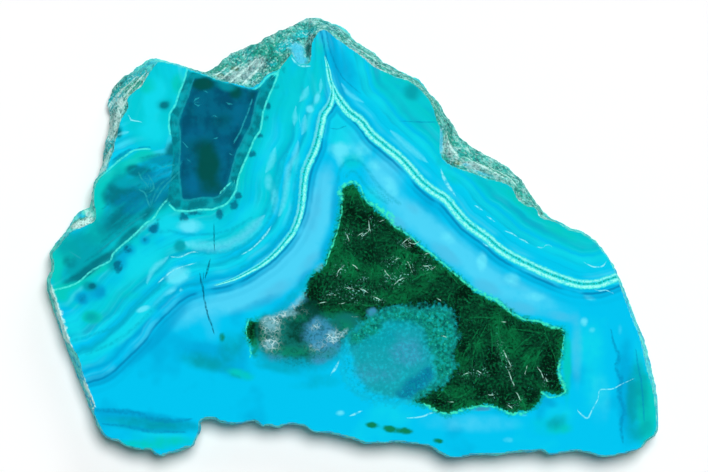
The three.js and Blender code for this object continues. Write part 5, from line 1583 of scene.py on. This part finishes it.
@dataclass
class Slice:
    """The slab of stone, remeshed finely from its solid so that its rind is rough and its markings crisp.

    The rind's grains rise to their full height a little way off either flat face. Angles are in degrees.
    """

    merge_within: float = 0.001 * MM
    voxel: float = 0.255 * MM
    flat_within: float = 0.16 * MM
    rough_from: float = 0.5 * MM
    rough_steps: int = 8
    grain_size: float = 0.6 * MM
    grain_height: float = 0.42 * MM
    grain_layers: int = 3
    swell: float = 0.2 * MM
    swell_from: float = 0.3 * MM
    swell_over: float = 1.0 * MM
    back_within: float = 0.01 * MM
    back_angle: float = 1.0
    crease: float = 38.0
    piece: bpy.types.Object | None = None

    def build(self) -> bpy.types.Object:
        """Makes the piece over its solid.

        Returns:
            The piece, with its shape finished.
        """
        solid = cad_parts[NODE]
        bpy.ops.object.select_all(action="DESELECT")
        self.piece = bpy.data.objects.new("polished_slice", solid.data.copy())
        bpy.context.scene.collection.objects.link(self.piece)
        self.piece.select_set(True)
        bpy.context.view_layer.objects.active = self.piece
        bpy.ops.object.mode_set(mode="EDIT")
        bpy.ops.mesh.select_all(action="SELECT")
        bpy.ops.mesh.remove_doubles(threshold=self.merge_within)
        bpy.ops.object.mode_set(mode="OBJECT")
        remesh = self.piece.modifiers.new("fine", "REMESH")
        remesh.mode = "VOXEL"
        remesh.voxel_size = self.voxel
        bpy.ops.object.modifier_apply(modifier=remesh.name)
        self._flatten()
        self._roughen()
        self._keep_in_box()
        self._plain_back()
        bpy.ops.object.shade_smooth_by_angle(angle=math.radians(self.crease))
        return self.piece

    def _move(self, places: np.ndarray) -> None:
        """Moves the piece's vertices to the given places."""
        self.piece.data.vertices.foreach_set("co", places.ravel())
        self.piece.data.update()

    def _flatten(self) -> None:
        """Makes the polished face and the sawn back dead flat."""
        low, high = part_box(NODE)
        places = places_of(self.piece)
        places[places[:, 2] > high.z - self.flat_within, 2] = high.z
        places[places[:, 2] < low.z + self.flat_within, 2] = low.z
        self._move(places)

    def _roughen(self) -> None:
        """Breaks the rind's surface into grains, and leaves the two flat faces alone."""
        low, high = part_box(NODE)
        height = places_of(self.piece)[:, 2]
        share = np.clip(np.minimum(high.z - height, height - low.z) / self.rough_from, 0, 1)
        group = self.piece.vertex_groups.new(name="rind")
        level = np.round(share * self.rough_steps).astype(int)
        for step in range(1, self.rough_steps + 1):
            group.add(np.flatnonzero(level == step).tolist(), step / self.rough_steps, "REPLACE")
        grain = bpy.data.textures.new("rind_grain", "CLOUDS")
        grain.noise_scale = self.grain_size
        grain.noise_depth = self.grain_layers
        displace = self.piece.modifiers.new("grain", "DISPLACE")
        displace.texture = grain
        displace.texture_coords = "LOCAL"
        displace.strength = self.grain_height
        displace.mid_level = 0.5
        displace.vertex_group = group.name
        bpy.ops.object.modifier_apply(modifier=displace.name)

    def _keep_in_box(self) -> None:
        """Swells the rind a little, which the fine mesh had cut back, but not past the solid's own box."""
        low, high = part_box(NODE)
        places = places_of(self.piece)
        outward = np.zeros(places.size)
        self.piece.data.vertex_normals.foreach_get("vector", outward)
        share = np.clip((high.z - places[:, 2] - self.swell_from) / self.swell_over, 0, 1)
        places[:, :2] += outward.reshape(-1, 3)[:, :2] * share[:, None] * self.swell
        self._move(np.clip(places, low, high))

    def _plain_back(self) -> None:
        """Joins the sawn back's many faces to one, because it is flat and unmarked."""
        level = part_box(NODE)[0].z + self.back_within
        bpy.ops.object.mode_set(mode="EDIT")
        bpy.ops.mesh.select_all(action="DESELECT")
        bpy.ops.object.mode_set(mode="OBJECT")
        vertices = self.piece.data.vertices
        for face in self.piece.data.polygons:
            face.select = all(vertices[corner].co.z < level for corner in face.vertices)
        bpy.ops.object.mode_set(mode="EDIT")
        bpy.ops.mesh.dissolve_limited(angle_limit=math.radians(self.back_angle))
        bpy.ops.object.mode_set(mode="OBJECT")

    def dress(self) -> None:
        """Stores the markings on the piece and gives it the stone's material."""
        low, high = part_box(NODE)
        Markings(self.piece).keep_all()
        self.piece.data.materials.clear()
        self.piece.data.materials.append(BandedChrysocolla(thickness=high.z - low.z).material())
        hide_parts(NODE)
        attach(self.piece, "root")


@dataclass(frozen=True)
class Studio:
    """A plain white table under soft light from above and a little to the right, seen from straight above.

    The floor's half width and the camera's reach are in metres, the angles in degrees, and the lens and the
    sensor in millimetres. The room's light falls from its strength at the floor to nothing at its rise.
    """

    floor_half: float = 3.0
    floor_roughness: float = 0.9
    sun_angle: float = 24.0
    key: float = 2.95
    key_turn: tuple[float, float, float] = (-16.0, 0.0, -25.0)
    fill: float = 0.5
    fill_turn: tuple[float, float, float] = (-55.0, 0.0, -30.0)
    room_strength: float = 0.42
    room_rise: float = 0.8
    lens: float = 350.0
    sensor: float = 36.0
    camera_reach: float = 20.0

    def build(self) -> None:
        """Adds the floor, the lights, the surroundings and the camera."""
        self._floor()
        self._sun("key", self.key_turn, self.key).visible_glossy = False
        self._sun("fill", self.fill_turn, self.fill)
        self._surroundings()
        self._camera()

    def _floor(self) -> None:
        """Adds the table that the slice lies on."""
        bpy.ops.mesh.primitive_plane_add(size=2 * self.floor_half, location=(0, 0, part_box(NODE)[0].z))
        floor = bpy.context.active_object
        floor.name = "floor"
        sheet = Sheet("matte_white_card")
        finish = {"Base Color": linear(Hue.WHITE_CARD), "Roughness": self.floor_roughness}
        shader = sheet.add("ShaderNodeBsdfPrincipled", finish)
        sheet.add("ShaderNodeOutputMaterial", {0: shader.outputs[0]})
        floor.data.materials.append(sheet.material)

    def _sun(self, name: str, turn: tuple[float, float, float], strength: float) -> bpy.types.Object:
        """Adds one soft light.

        Args:
            name: The light's name.
            turn: Its rotation in degrees.
            strength: Its strength.

        Returns:
            The light.
        """
        bpy.ops.object.light_add(type="SUN", rotation=[math.radians(a) for a in turn])
        light = bpy.context.active_object
        light.name = name
        light.data.energy = strength
        light.data.angle = math.radians(self.sun_angle)
        return light

    def _surroundings(self) -> None:
        """Makes the room black overhead and pale low down, so that the polish stays clear from above."""
        world = bpy.data.worlds.new("studio")
        bpy.context.scene.world = world
        world.use_nodes = True
        tree = world.node_tree
        rise = tree.nodes.new("ShaderNodeSeparateXYZ")
        tree.links.new(tree.nodes.new("ShaderNodeTexCoord").outputs["Generated"], rise.inputs[0])
        dim = tree.nodes.new("ShaderNodeMapRange")
        tree.links.new(rise.outputs["Z"], dim.inputs["Value"])
        ends = {"From Min": 0.0, "From Max": self.room_rise, "To Min": self.room_strength, "To Max": 0.0}
        for name, value in ends.items():
            dim.inputs[name].default_value = value
        background = tree.nodes["Background"]
        background.inputs["Color"].default_value = linear(Hue.ROOM_LIGHT)
        tree.links.new(dim.outputs[0], background.inputs["Strength"])

    def _camera(self) -> None:
        """Adds a long lens straight above, framed as the photograph is."""
        x, y = VIEW.place_of(VIEW.width / 2, VIEW.height / 2)
        distance = VIEW.width * VIEW.pixel * self.lens / self.sensor
        bpy.ops.object.camera_add(location=(x, y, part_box(NODE)[1].z + distance), rotation=(0, 0, 0))
        camera = bpy.context.active_object
        camera.data.lens = self.lens
        camera.data.sensor_width = self.sensor
        camera.data.clip_end = self.camera_reach
        bpy.context.scene.camera = camera
        bpy.context.scene.view_settings.view_transform = "Standard"


def main() -> None:
    """Builds the slice and the studio."""
    logging.basicConfig(level=logging.INFO, format="%(name)s: %(message)s")
    slice_of_stone = Slice()
    piece = slice_of_stone.build()
    slice_of_stone.dress()
    Studio().build()


if __name__ == "__main__":
    main()
